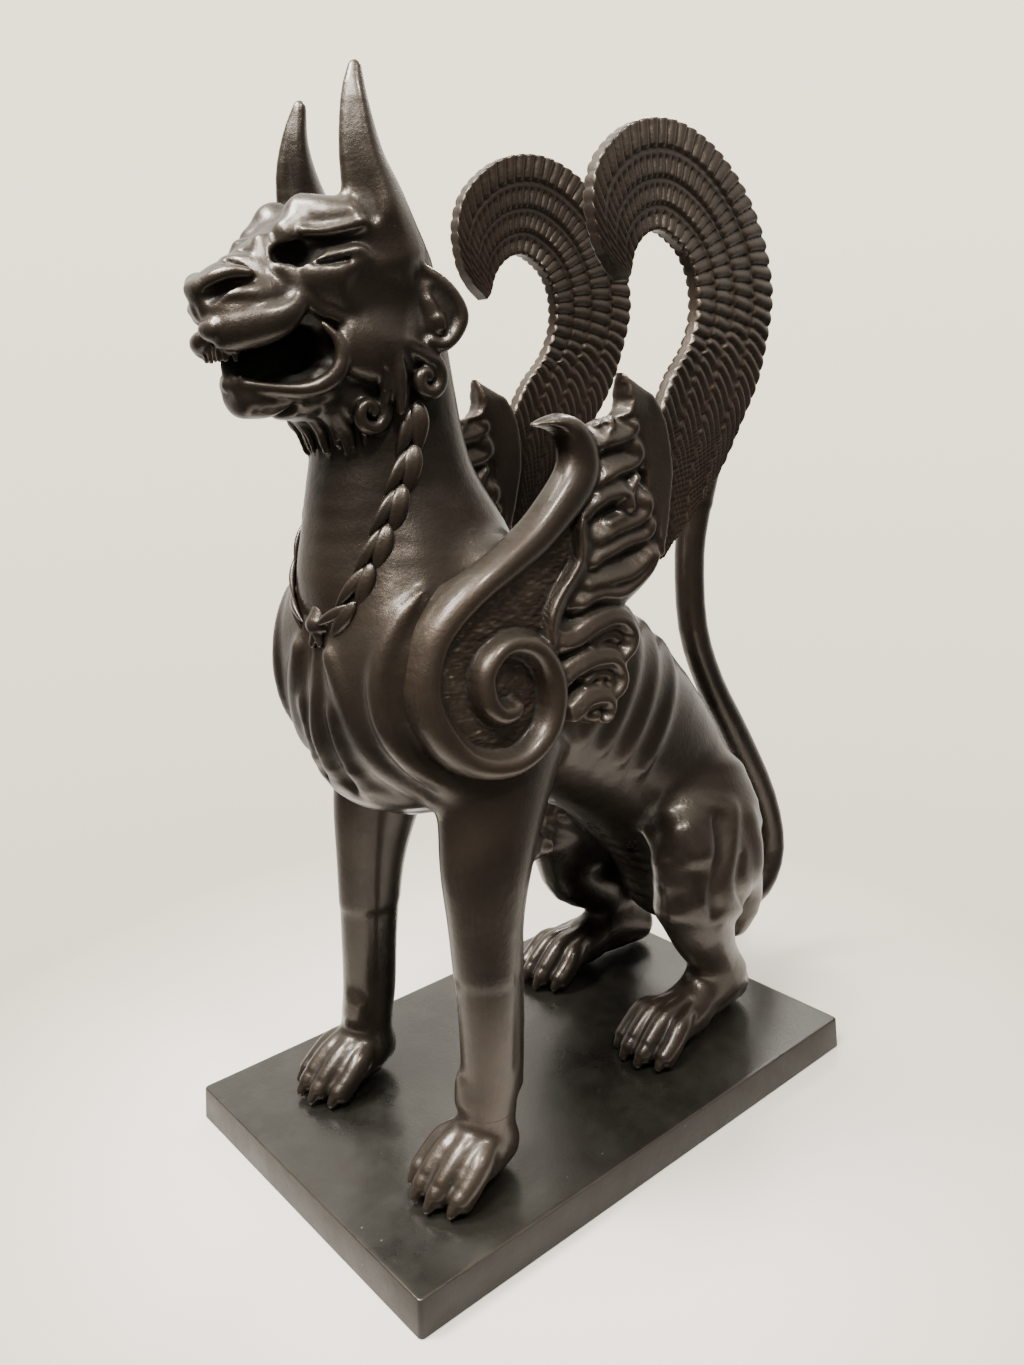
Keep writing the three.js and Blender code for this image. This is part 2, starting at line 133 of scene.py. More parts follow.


# Patina: dark brown with pale specks. It is blacker in the hollows, as patina in the crevices and as
# painted shade in deep recesses and between the barbs, and red brown on the high places, worn there on the
# cast and painted as highlight on the feather barbs. Painted light lightens the hammered ground, painted
# shade darkens the plinth's sides, and upward faces take dust and painted sheen.
# Each layer is the colour below mixed with its own by its own mask
def bronzeMaterial(name, look):
    made, shader, place = newMaterial(name)

    def attribute(label):
        return place.node("ShaderNodeAttribute", {"attribute_name": label}, out=2)

    def cloud(scale, detail=4.0, rough=0.55):
        given = {"Vector": place, "Scale": scale, "Detail": detail, "Roughness": rough}
        return place.node("ShaderNodeTexNoise", values=given)

    # The second attribute is painted shade: dark in deep recesses and inside the mouth and eyes
    wear, buried, height = attribute("wear"), attribute("buried"), place.heightOf()
    broad = cloud(patina["broad"]).clamped(*patina["broadRange"])
    blotch = cloud(patina["blotch"]).clamped(*patina["blotchRange"])
    grain, pits = cloud(*patina["grain"]), cloud(*patina["pits"])
    # Red brown where the cast is worn on its high places, and painted highlight on the feather barbs' tops
    wornAndHighlit = (wear + (blotch - 0.5) * patina["wearBlotch"]).clamped(look["wearFrom"], look["wearTo"])
    wornAndHighlit = wornAndHighlit * look["wearShare"] * (1.0 - buried.clamped(*patina["wornAndHighlitClear"]))
    # Darker in the hollows: patina in the crevices, and painted shade in deep recesses and between the
    # barbs
    low = (0.0 - wear).clamped(*patina["lowRange"]) * patina["lowShare"]
    hollowPatinaAndShade = low.maths("MAXIMUM", buried.clamped(*patina["buriedRange"]))
    colour = broad.mixed(look["dark"], look["brown"])
    colour = (blotch * patina["oliveShare"]).mixed(colour, look["olive"])
    colour = wornAndHighlit.mixed(colour, look["wornAndHighlight"])
    # Painted light: the hammered ground is lightened as if lit
    if look.get("hammer"):
        ground = attribute("ground")
        least, more = patina["paintedGroundLightShare"]
        colour = (ground * (least + blotch * more)).mixed(colour, look["paintedGroundLight"])
    colour = (hollowPatinaAndShade * patina["hollowAndShadeShare"]).mixed(colour, look["hollowPatinaAndShade"])
    upward = place.node("ShaderNodeNewGeometry", out=1).heightOf()
    # Upward faces take a paler colour: dust and painted sheen together
    dustAndSheenHeight = height.clamped(look["dustAndSheenFrom"], look["dustAndSheenFrom"] + patina["dustAndSheenRise"])
    dustAndSheen = upward.clamped(*patina["dustAndSheenSlope"]) * dustAndSheenHeight * (1.0 - hollowPatinaAndShade)
    # Painted shade: the plinth's sides are darkened, and made rougher and without coat
    paintedSideShade = (1.0 - upward.clamped(*patina["sideShadeSlope"])) * look["sideShade"]
    colour = paintedSideShade.mixed(colour, look["hollowPatinaAndShade"])
    colour = (dustAndSheen * look["dustAndSheenShare"] * (patina["dustAndSheenLeast"] + blotch)).mixed(colour, look["dustAndSheen"])
    specks = place.node("ShaderNodeTexVoronoi", {"feature": "F1"}, {
        "Vector": place, "Scale": patina["specks"]})
    patches = cloud(*patina["speckPatches"]).clamped(*patina["patchRange"])
    speck = (1.0 - specks.clamped(*patina["speckRange"])) * patches
    colour = (speck * patina["speckShare"]).mixed(colour, look["speck"])
    foot = 1.0 - height.clamped(look["contact"], look["contact"] + patina["contactRise"])
    contact = foot * cloud(patina["residueClouds"]).clamped(*patina["residueRange"])
    colour = (contact * patina["residueShare"]).mixed(colour, look["residue"])
    rough = look["rough"] + (broad - 0.5) * patina["roughBroad"] + (blotch - 0.5) * patina["roughBlotch"]
    rough = rough + hollowPatinaAndShade * patina["roughHollowAndShade"] + wornAndHighlit * patina["roughWornAndHighlit"]
    rough = rough + contact * patina["roughContact"] + paintedSideShade * patina["roughSideShade"]
    relief = (pits - 0.5) * look["pitDepth"] + (grain - 0.5) * look["grainDepth"]
    if look.get("hammer"):
        turned = place.node("ShaderNodeMapping", values={
            "Vector": place, "Rotation": patina["dentTurn"], "Scale": patina["dentStretch"]})
        relief = relief + place.node("ShaderNodeTexVoronoi", {"feature": "SMOOTH_F1"}, {
            "Vector": turned, "Scale": patina["dents"],
            "Smoothness": patina["dentSmooth"]}) * ground * look["hammer"]
    bump = place.node("ShaderNodeBump", values={
        "Strength": 1.0, "Distance": patina["bumpHeight"], "Height": relief})
    colour.feed(shader.inputs["Base Color"])
    rough.feed(shader.inputs["Roughness"])
    (look["metal"] - hollowPatinaAndShade * patina["hollowAndShadeMetal"]).feed(shader.inputs["Metallic"])
    (look["coat"] * (1.0 - hollowPatinaAndShade) * (1.0 - paintedSideShade)).feed(shader.inputs["Coat Weight"])
    bump.feed(shader.inputs["Normal"])
    shader.inputs["Specular IOR Level"].default_value = 0.5
    shader.inputs["Coat Roughness"].default_value = look["coatRough"]
    return made


# The colour for the hollows serves patina and painted shade, the worn colour also paints highlights on the
# barbs, the dust colour also paints sheen, and the ground's tone is painted light
bronzeLook = {
    "dark": (0.0225, 0.0172, 0.0134, 1), "brown": (0.056, 0.0415, 0.0308, 1),
    "olive": (0.029, 0.0255, 0.0185, 1), "wornAndHighlight": (0.076, 0.054, 0.040, 1),
    "hollowPatinaAndShade": (0.0045, 0.0038, 0.0031, 1), "dustAndSheen": (0.088, 0.088, 0.070, 1), "speck": (0.30, 0.27, 0.22, 1),
    "paintedGroundLight": (0.105, 0.080, 0.060, 1), "residue": (0.33, 0.32, 0.29, 1),
    "wearFrom": 0.15, "wearTo": 1.3, "wearShare": 0.6, "dustAndSheenFrom": 0.1, "dustAndSheenShare": 0.35,
    "rough": 0.36, "metal": 0.6, "coat": 0.45, "coatRough": 0.2, "pitDepth": 0.5, "grainDepth": 0.12,
    "contact": figureLow.z + 0.0006, "sideShade": 0.0,
}
wingLook = {
    **bronzeLook, "dark": (0.028, 0.020, 0.0145, 1), "brown": (0.068, 0.048, 0.035, 1),
    "wornAndHighlight": (0.105, 0.076, 0.057, 1), "hammer": 1.3, "dustAndSheenShare": 0.5, "rough": 0.43, "contact": -1.0,
}
# The plinth's sides are painted dark as shade, and its top takes dust with painted sheen
plinthLook = {
    **bronzeLook, "dark": (0.0105, 0.0095, 0.0075, 1), "brown": (0.020, 0.0175, 0.0135, 1),
    "olive": (0.017, 0.018, 0.0145, 1), "dustAndSheen": (0.030, 0.030, 0.025, 1), "dustAndSheenFrom": -0.4, "rough": 0.34,
    "metal": 0.4, "coat": 0.5, "pitDepth": 0.3, "contact": -1.0, "sideShade": 0.75,
}
bronze = bronzeMaterial("bronzePatina", bronzeLook)
wingBronze = bronzeMaterial("bronzeWing", wingLook)
plinthBronze = bronzeMaterial("bronzePlinth", plinthLook)
print("materials made")


# A mesh from points in parts: smooth shaded, riding on the root and standing for its CAD node.
# Each trim is a level and a sign: what lies beyond the level on that side is cut off, and the cut closed
def finishPiece(name, points, faces, material, slot="bronze", node="griffin", trims=(), **shades):
    mesh = bpy.data.meshes.new(name)
    world = np.asarray(points, float) * part + (0, 0, figureLow.z)
    mesh.from_pydata(world, [], faces)
    mesh.shade_smooth()
    for label, values in shades.items():
        shade = mesh.attributes.new(label, "FLOAT", "POINT")
        shade.data.foreach_set("value", np.asarray(values, np.float32))
    if trims:
        solid = bmesh.new()
        solid.from_mesh(mesh)
        for level, way in trims:
            everything = solid.verts[:] + solid.edges[:] + solid.faces[:]
            bmesh.ops.bisect_plane(solid, geom=everything, plane_co=(0, 0, level * part + figureLow.z),
                                   plane_no=(0, 0, way), clear_outer=True)
            rim = [edge for edge in solid.edges if edge.is_boundary]
            for edge in rim:
                edge.smooth = False
            for cap in bmesh.ops.edgeloop_fill(solid, edges=rim)["faces"]:
                cap.smooth = False
        solid.to_mesh(mesh)
        solid.free()
    mesh.materials.append(material)
    piece = bpy.data.objects.new(name, mesh)
    bpy.context.scene.collection.objects.link(piece)
    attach(piece, "root")
    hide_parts(node)
    mesh.calc_loop_triangles()
    print(name, "has", len(mesh.loop_triangles), "triangles")
    return piece


# Rows of numbers carried on a smooth curve: the Catmull-Rom blend of four rows at each step
def smoothRows(rows, steps):
    rows = np.asarray(rows, float)
    ends = np.vstack([2 * rows[0] - rows[1], rows, 2 * rows[-1] - rows[-2]])
    t = np.linspace(0, 1, steps, endpoint=False)
    weights = 0.5 * np.stack([-t + 2 * t**2 - t**3, 2 - 5 * t**2 + 3 * t**3, t + 4 * t**2 - 3 * t**3,
                              t**3 - t**2], 1)
    spans = np.stack([ends[i:i + len(rows) - 1] for i in range(4)], 1)
    return np.vstack([np.einsum("pk,nkc->npc", weights, spans).reshape(-1, rows.shape[1]), rows[-1]])


# A smooth rise from 0 at low to 1 at high: t t (3 - 2 t)
def smoothStep(low, high, v):
    t = np.clip((v - low) / (high - low), 0, 1)
    return t * t * (3 - 2 * t)


def unit(vector):
    return vector / np.linalg.norm(vector)


# How far each point of a path is from its start, along the path
def runAlong(path):
    return np.r_[0, np.cumsum(np.linalg.norm(np.diff(path, axis=0), axis=1))]


# Faces of a grid of points whose rows close on themselves, and below the two that cap its ends
def tubeFaces(rows, columns):
    i, j = np.meshgrid(np.arange(rows - 1), np.arange(columns), indexing="ij")
    a, b = i * columns + j, i * columns + (j + 1) % columns
    return np.stack([a, b, b + columns, a + columns], -1).reshape(-1, 4)


def endCaps(rows, columns):
    return [list(range(columns - 1, -1, -1)), [(rows - 1) * columns + k for k in range(columns)]]


# How the clay is laid and shaded: lengths in parts, or in steps of the samples where the note says so
clay = {
    "outside": 40, "leastHalf": 0.3, "margin": 2.5, "skinDepth": 3,  # the last two in steps
    "proudReach": 1.7, "proudGain": 6,  # in steps: what counts as close by
    "buriedReach": 11, "buriedGain": 4, "shadeFrom": 1.15, "shadeFade": 0.3,  # painted shade: its reach and gain, and the dark places painted black, in their radii
    "coarser": 1.0,
}


# An even grid of samples. Each holds the distance to the surface, negative inside the metal
class ClaySpace:
    def __init__(self, low, high, step):
        self.step = step
        self.axes = [np.arange(a, b + step, step, dtype=np.float32) for a, b in zip(low, high)]
        self.field = np.full([len(a) for a in self.axes], clay["outside"], np.float32)

    def window(self, low, high):
        ends = [np.searchsorted(axis, (a, b)) for axis, a, b in zip(self.axes, low, high)]
        if any(b - a < 2 for a, b in ends):
            return None, (0, 0, 0)
        x, y, z = (axis[a:b] for axis, (a, b) in zip(self.axes, ends))
        return tuple(slice(a, b) for a, b in ends), (x[:, None, None], y[None, :, None], z[None, None, :])

    # Adds or cuts an oval section carried along a path. Each row is x, y, z, half width, half depth.
    # The distance is the way out along the ray from the path, |q| (1 - 1 / r), r being the oval's radius
    # in its own widths. It meets what is there with a rounded join of the given size
    def sweep(self, rows, blend=6, cut=False, square=2, dome=0.8, steps=3):
        path = smoothRows(rows, steps)
        path[:, 3:5] = np.maximum(path[:, 3:5], clay["leastHalf"])
        margin = blend + clay["margin"] * self.step
        reach = path[:, 3:5].max() * 1.25 + margin
        place, _ = self.window(path[:, :3].min(0) - reach, path[:, :3].max(0) + reach)
        if place is None:
            return
        near = np.full(self.field[place].shape, margin + 2, np.float32)
        starts = np.array([s.start for s in place])
        for a, b in zip(path[:-1], path[1:]):
            along = b[:3] - a[:3]
            length = np.linalg.norm(along)
            if length < 1e-4:
                continue
            along = along / length
            guide = np.array([1.0, 0, 0]) if abs(along[0]) < 0.85 else np.array([0, 0, 1.0])
            side = unit(guide - along * (guide @ along))
            across = np.cross(along, side)
            reach = max(a[3], a[4], b[3], b[4]) * 1.1 + margin
            low, high = np.minimum(a[:3], b[:3]), np.maximum(a[:3], b[:3])
            here, (x, y, z) = self.window(low - reach, high + reach)
            if here is None:
                continue
            x, y, z = x - np.float32(a[0]), y - np.float32(a[1]), z - np.float32(a[2])
            run, u, v = (x * np.float32(w[0]) + y * np.float32(w[1]) + z * np.float32(w[2])
                         for w in (along, side, across))
            share = np.clip(run / np.float32(length), 0, 1)
            wide, deep = (np.float32(a[k]) + np.float32(b[k] - a[k]) * share for k in (3, 4))
            over = run - share * np.float32(length)
            tip = np.minimum(wide, deep) * np.float32(dome)
            if square == 2:
                ratio = np.sqrt((u / wide) ** 2 + (v / deep) ** 2 + (over / tip) ** 2) + np.float32(1e-5)
            else:
                ratio = (np.abs(u / wide) ** square + np.abs(v / deep) ** square
                         + np.abs(over / tip) ** square) ** (1 / square) + np.float32(1e-5)
            away = np.sqrt(u * u + v * v + over * over) * (1 - 1 / ratio)
            inner = tuple(slice(s.start - o, s.stop - o) for s, o in zip(here, starts))
            near[inner] = np.minimum(near[inner], away)
        self.merge(place, near, blend, cut)

    # The lesser of old and new distance, with a parabola across the join. A cut joins with the signs turned
    def merge(self, place, near, blend, cut):
        old = -self.field[place] if cut else self.field[place]
        if blend > 0:
            share = np.clip(0.5 + (old - near) / (2 * blend), 0, 1)
            new = old + (near - old) * share - blend * share * (1 - share)
        else:
            new = np.minimum(old, near)
        self.field[place] = -new if cut else new

    # Each sample becomes a quarter, half, quarter mean along each axis in turn
    def soften(self):
        for axis in range(3):
            f = np.moveaxis(self.field, axis, 0)
            f[1:-1] = 0.25 * f[:-2] + 0.5 * f[1:-1] + 0.25 * f[2:]

    # The share of metal in a cube of the given half size round each sample, by running sums, put right
    # by the sample's own way from the surface, so that a flat face gives one half at every sample
    def filled(self, reach):
        share = np.clip(0.5 - self.field / (2 * self.step), 0, 1)
        n = max(int(round(reach / self.step)), 1)
        for axis in range(3):
            padded = np.pad(np.moveaxis(share, axis, 0), [(n + 1, n), (0, 0), (0, 0)], mode="edge")
            total = np.cumsum(padded, 0)
            share = np.moveaxis((total[2 * n + 1:] - total[:-2 * n - 1]) / (2 * n + 1), 0, axis)
        return share + np.clip(self.field / self.step, -1, 1) / (2 * n + 1)

    # The surface where the distance is nought: its points and faces, how far each point stands proud of
    # what is close by, and how deep it is buried in what is further off, which is painted as shade
    def skin(self):
        limit = clay["skinDepth"] * self.step
        f = np.clip(self.field, -limit, limit)
        for axis in range(3):
            np.moveaxis(f, axis, 0)[[0, -1]] = limit
        grid = openvdb.FloatGrid(limit)
        grid.copyFromArray(f)
        points, triangles, quads = grid.convertToPolygons(0.0, 0.0)
        faces = quads.tolist() + triangles.tolist()
        a, b, c, d = (points[quads[:, k]] for k in range(4))
        if (np.cross(a, b) * c).sum() + (np.cross(a, c) * d).sum() < 0:
            faces = [f[::-1] for f in faces]
        cell = tuple(np.clip(np.rint(points).astype(int), 0, np.array(f.shape) - 1).T)
        proud = 0.5 - self.filled(clay["proudReach"] * self.step)[cell]
        buried = self.filled(clay["buriedReach"])[cell] - 0.5
        low = np.array([axis[0] for axis in self.axes])
        return (points * self.step + low, faces, proud * clay["proudGain"],
                np.clip(buried * clay["buriedGain"], 0, 1))


# The same rows on the figure's other side
def mirrored(rows):
    return [[-row[0], *row[1:]] for row in rows]


# Lays each form of a list into the space: once as written, or on both sides of the figure
def lay(space, forms):
    for form in forms:
        given = {k: v for k, v in form.items() if k not in ("rows", "both")}
        space.sweep(form["rows"], **given)
        if form.get("both"):
            space.sweep(mirrored(form["rows"]), **given)


# A form swells the metal or cuts a groove in it, once or on both sides. The first number is the size of its
# rounded join. A row is a place on its path, its half width and its half depth, left out if it is the same
def swell(blend, *rows, **more):
    return {"rows": [[*row, row[3]] if len(row) == 4 else row for row in rows], "blend": blend, **more}


def swellPair(blend, *rows, **more):
    return swell(blend, *rows, both=True, **more)


def groove(blend, *rows, **more):
    return swell(blend, *rows, cut=True, **more)


def groovePair(blend, *rows, **more):
    return groove(blend, *rows, both=True, **more)


# How far the shoulder turns in ahead of its side: a parabola in the way forwards
def shoulderTurn(y):
    return 15 * (np.maximum(-100 - y, 0) / 70) ** 2


# Neck, trunk, shoulders and chest, and the folds and grooves of the breast
torso = [
    swell(0, [0, -142, 676, 18, 16], [0, -134, 662, 34], [0, -126, 638, 43, 45], [0, -121, 590, 46, 49],
          [0, -119, 548, 48, 55], [0, -117, 513, 52, 66], [0, -111, 475, 59, 82], [0, -105, 445, 67, 86],
          [0, -101, 411, 76, 92], [0, -101, 373, 79, 95], [0, -100, 337, 77, 91], [0, -94, 308, 66, 78],
          [0, -92, 288, 50, 60], square=2.35, dome=0.25),
    swell(8, [0, -100, 366, 80, 84], [0, -60, 372, 84, 90], [0, -10, 358, 84, 96], [0, 50, 326, 80, 92],
          [0, 108, 282, 76, 84], [0, 156, 226, 74, 76], [0, 190, 166, 70, 64], [0, 202, 108, 60, 50],
          square=2.25),
    swellPair(16, [38, -118, 500, 14, 26], [48, -130, 466, 21, 33], [58, -128, 430, 23, 36],
              [63, -122, 388, 20, 38], [68, -108, 340, 19, 42]),
    swellPair(16, [32, -146, 456, 24, 22], [42, -154, 428, 33, 28], [46, -157, 400, 38, 31],
              [45, -153, 362, 36, 31], [38, -136, 320, 27, 26]),
    swellPair(20, [56, -84, 462, 20, 34], [64, -70, 436, 22, 42], [62, -36, 430, 24, 44],
              [56, 4, 404, 24, 40]),
    swell(9, [0, -190, 376, 6], [0, -193, 350, 7], [0, -182, 324, 7], [3, -160, 304, 6]),
    swellPair(7, [18, -193, 368, 5], [20, -189, 348, 5], [25, -178, 326, 5], [35, -164, 309, 5],
              [50, -150, 298, 4]),
    swellPair(10, [20, -193, 410, 5], [31, -190, 386, 6, 5], [40, -184, 360, 6], [50, -176, 336, 6],
              [60, -162, 318, 6, 5], [70, -146, 304, 5]),
    groovePair(8, [8, -193, 424, 2, 3], [10, -198, 400, 3, 5], [11, -201, 376, 3, 5],
               [12, -200, 350, 3.5, 5], [13, -192, 326, 3.5, 5], [18, -176, 308, 3]),
    groovePair(7, [28, -198, 352, 3, 4], [33, -191, 333, 3.5, 4], [43, -180, 316, 3.5, 4],
               [60, -165, 304, 3]),
]

# The fold round the wing's root, and the ribs behind it, each with a middle, y and z, and two half widths
fold = {"angles": (122, 262), "points": 10, "centre": (86, -98, 378), "radius": 86, "closing": 10}
ribs = {"angles": (28, 112), "points": 7, "sunk": 4.3, "backward": 0.552, "upward": 0.834, "half": (5, 4.5),
        "each": [(14, 347, 82, 95), (38, 333, 81, 93), (62, 317, 79, 91), (86, 300, 78, 88)]}
turn = np.radians(np.linspace(*fold["angles"], fold["points"]))
reach = fold["radius"] - fold["closing"] * (turn - turn[3])
x, y, z = fold["centre"]
y = y + reach * np.cos(turn)
half = 2 + 6 * np.sin(np.pi * np.linspace(0, 1, fold["points"])) ** 0.6
ring = np.stack([x - shoulderTurn(y), y, z + reach * np.sin(turn), half, half], 1)
torso.append(swellPair(6, *ring.tolist()))
turn = np.radians(np.linspace(*ribs["angles"], ribs["points"]))
for y, z, wide, tall in ribs["each"]:
    ring = np.stack([wide * np.sin(turn) ** 0.9 - ribs["sunk"], y + ribs["backward"] * tall * np.cos(turn),
                     z + ribs["upward"] * tall * np.cos(turn), *(h + 0 * turn for h in ribs["half"])], 1)
    torso.append(swellPair(10, *ring.tolist()))

# Where each paw stands, x and y, its side, and how far its own piece reaches back and forward
stance = {
    "nearForepaw": (93, -124, 1, 40, 92), "farForepaw": (-78, -120, -1, 40, 92),
    "nearHindpaw": (78, 76, 1, 160, 44), "farHindpaw": (-82, 100, -1, 160, 44),
}
forefeet = [stance[k][:3] for k in ("nearForepaw", "farForepaw")]
hindfeet = [stance[k][:3] for k in ("nearHindpaw", "farHindpaw")]

# Forelegs: the shaft, the elbow, the tendon behind, the groove at its side and the wrist
legs = []
for x, y, flip in forefeet:
    s = x * 0.88  # the shoulder stands a little further in than the paw
    legs += [
        swell(16, [s - 12 * flip, -86, 330, 30, 62], [s - 6 * flip, -98, 285, 30, 46],
              [s, y + 14, 245, 28, 37], [s + 4 * flip, y + 8, 200, 25, 29],
              [x - 2 * flip, y + 4, 140, 23, 25], [x, y + 1, 84, 21, 24], [x, y - 3, 60, 21, 23],
              [x, y - 6, 34, 21, 22], steps=7),
        swell(9, [s - 2 * flip, -86, 258, 15, 22], [s, -68, 248, 10, 12], [s + 3 * flip, -50, 243, 6, 7]),
        swell(6, [s + 4 * flip, y + 34, 214, 6, 7], [x, y + 29, 150, 6, 7], [x + 3 * flip, y + 25, 96, 6],
              [x + 4 * flip, y + 20, 66, 7, 8]),
        groove(7, [x + 22 * flip, y + 18, 196, 2, 3], [x + 22 * flip, y + 15, 140, 2, 3],
               [x + 21 * flip, y + 12, 92, 2]),
        swell(10, [x - 8 * flip, y - 18, 80, 8, 6], [x - 6 * flip, y - 20, 64, 9, 6]),
    ]
# Hind legs: the haunch, the rump, the shank with its hock, and the foot. The far haunch lies further back
for (x, y, flip), back in zip(hindfeet, (0, 6)):
    legs += [
        swell(18, [56 * flip, 178 + back, 240, 24, 44 - back],
              [68 * flip, 166 + back, 198, 34, 68 - back], [80 * flip, 146 + back, 164, 33, 68 - back],
              [86 * flip, 136 + back, 128, 27, 54 - back], dome=0.6),
        swell(10, [58 * flip, 206, 150, 28, 34], [62 * flip, 212, 104, 26, 28],
              [62 * flip, 206, 78, 18, 20]),
        swell(12, [86 * flip, 116 + 1.6 * back, 150, 25, 40], [84 * flip, 138, 108, 23, 36],
              [x, y + 82, 70, 21, 27], [x, y + 96, 36, 20, 32]),
        swell(12, [x - 8 * flip, y + 122, 22, 18, 20], [x - 4 * flip, y + 84, 30, 21, 27],
              [x, y + 48, 27, 21]),
    ]
# The thigh's knee, ridges, grooves and muscles. The far ones are a mirror image, shifted back
thighShift = 11
thigh = [
    swell(12, [84, 106, 208, 15, 14], [97, 110, 190, 13, 15]),
    swell(8, [98, 102, 170, 8, 9], [99, 104, 148, 8, 9]),
    swell(8, [52, 96, 207, 5], [68, 92, 192, 5], [82, 88, 174, 5], [87, 90, 146, 5]),
    groove(10, [99, 138, 214, 4, 5], [106, 136, 200, 5], [111, 133, 188, 5], [113, 124, 172, 5],
           [113, 117, 154, 4, 5], [112, 120, 136, 3, 4]),
    swell(7, [92, 164, 216, 6, 7], [99, 155, 200, 6], [104, 146, 186, 6], [107, 138, 172, 5, 6],
          [107, 134, 158, 5, 6], [106, 140, 142, 5, 6], [98, 158, 124, 5, 6], [88, 180, 106, 5]),
    groove(5, [110, 160, 178, 3], [114, 152, 160, 4], [113, 156, 142, 5], [104, 176, 122, 5],
           [92, 198, 104, 4]),
    swell(10, [88, 184, 200, 12, 13], [92, 190, 170, 13, 14], [90, 194, 148, 13, 14], [80, 208, 122, 11],
          [72, 214, 104, 8]),
]
legs += thigh
for form in thigh:
    shifted = [[-x, y + thighShift, *rest] for x, y, *rest in form["rows"]]
    legs.append({**form, "rows": shifted})

# The tail drops behind the plinth and rises again to its tuft
tail = [
    swell(10, [0, 206, 96, 26, 24], [0, 238, 76, 20], [4, 278, 54, 17], [8, 322, 60, 16],
          [8, 342, 98, 16], [6, 328, 160, 15], [2, 286, 236, 15], [0, 246, 300, 14], [0, 220, 360, 14],
          [0, 214, 430, 14], [0, 222, 478, 15]),
]
# The tuft: four locks wound round one line, a quarter turn apart and thinner to the tip
heart = [(0, 222, 478, 1), (0, 232, 524, 1), (0, 236, 566, 0.7), (0, 232, 606, 0.1)]
for quarter in range(4):
    lock = []
    for k, (x, y, z, r) in enumerate(heart):
        a = quarter * 1.57 + k * 1.1
        lock.append([x + 7 * math.cos(a) * r, y + 9 * math.sin(a) * r, z, 9 * r, 12 * r])
    tail.append(swell(3, *lock))


# A lock of hair: down its lead points, then round a spiral whose reach falls as radius (1 - t)
def curl(x, y, z, radius, half, start, turn, lead):
    t = np.linspace(0, 1, 14)
    a = np.radians(start - turn * t)
    r = radius * (1 - t) ** 0.85 + 0.8
    thick = half * (1 - 0.45 * t)
    coil = np.stack([x + 2.5 * t, y + r * np.cos(a), z + r * np.sin(a), thick, thick * 0.9], 1)
    return lead + coil.tolist()


# Skull, cheeks, jaw, open mouth with its tongue, muzzle, lips and nose
head = [
    swell(14, [0, -114, 648, 44, 50], [0, -134, 650, 53, 59], [0, -158, 652, 54, 55],
          [0, -182, 652, 47, 43], [0, -206, 648, 34, 31], [0, -232, 642, 24, 21], [0, -248, 641, 17, 12],
          dome=0.6),
    swellPair(10, [40, -190, 654, 9, 12], [43, -172, 654, 11, 14], [43, -156, 654, 9, 12]),
    swellPair(8, [45, -176, 612, 8, 16], [44, -152, 612, 13, 24], [40, -126, 620, 14, 28]),
    swell(6, [0, -146, 604, 44, 34], [0, -182, 590, 38, 24], [0, -209, 584, 28, 15],
          [0, -229, 582, 18, 12]),
    groove(2, [0, -262, 606, 62, 4], [0, -240, 606, 62, 6], [0, -220, 607, 62, 10],
           [0, -204, 611, 62, 15], [0, -199, 612, 62, 15]),
    swell(2, [0, -190, 610, 9, 19], [0, -206, 606, 9, 16], [0, -222, 603, 9, 13], [0, -235, 602, 8, 12]),
    swellPair(4, [14, -245, 638, 9, 10], [21, -235, 640, 13, 12.5], [23, -221, 642, 13],
              [22, -206, 645, 11, 12]),
    swell(3, [4, -249, 624, 6, 9], [12, -248, 624, 8.5, 11.5], [22, -241, 624, 10, 13],
          [31, -229, 626, 9.6, 12.5], [37, -216, 630, 7.5, 10], [38, -206, 638, 5.6, 7],
          [35, -204, 647, 4, 5], [30, -207, 655, 3]),
    swell(2.5, [-4, -248, 620, 6, 7.5], [-12, -247, 617.5, 7.4, 8.5], [-22, -240, 616.5, 8, 9],
          [-31, -227, 618, 7, 9], [-37, -215, 625, 6, 8], [-38, -206, 635, 5, 6.5]),
    groove(2.5, [-10, -257, 632, 2, 2.4], [-20, -252, 632, 2.5, 3.2], [-31, -240, 632.5, 3.4],
           [-39, -226, 633, 3.4, 3], [-42, -216, 635, 2]),
    groove(3, [10, -258, 637, 2], [21, -253, 639, 2], [33, -241, 640, 2.2, 2], [41, -227, 641, 2]),
    swell(5, [0, -224, 660, 13, 8], [0, -242, 653, 15, 8], [0, -254, 648, 11, 6]),
    swellPair(2.5, [5, -254, 648, 4.5, 5], [15, -248, 654, 5.5, 5], [23, -239, 657, 5, 4.5],
              [28, -231, 656, 3.5]),
    groovePair(1.5, [11, -262, 641, 4, 4.5], [16, -252, 644, 5, 4.8], [23, -242, 649, 4, 3.2],
               [30, -231, 652, 2.4, 2]),
    groove(4, [0, -259, 636, 2, 3], [0, -256, 620, 2, 4], [0, -250, 610, 2, 3]),
]
# Wrinkles over the muzzle, each a bow with a groove above it
for reach, y, z, wide in ((10, -241, 658, 22), (11, -230, 665, 26), (12, -219, 671, 25)):
    head.append(swell(2, [-wide, y + reach, z - 8, 2.5], [-wide * 0.55, y + reach * 0.3, z - 1, 3.4, 3.6],
                      [0, y, z, 4, 4.2], [wide * 0.55, y + reach * 0.3, z - 1, 3.4, 3.6],
                      [wide, y + reach, z - 8, 2.5]))
    head.append(groovePair(1.5, [5, y + 6, z + 6.5, 1.4, 2], [wide * 0.6, y + 8, z + 4.5, 1.4, 2],
                           [wide, y + 14, z - 2, 1.2, 1.6]))
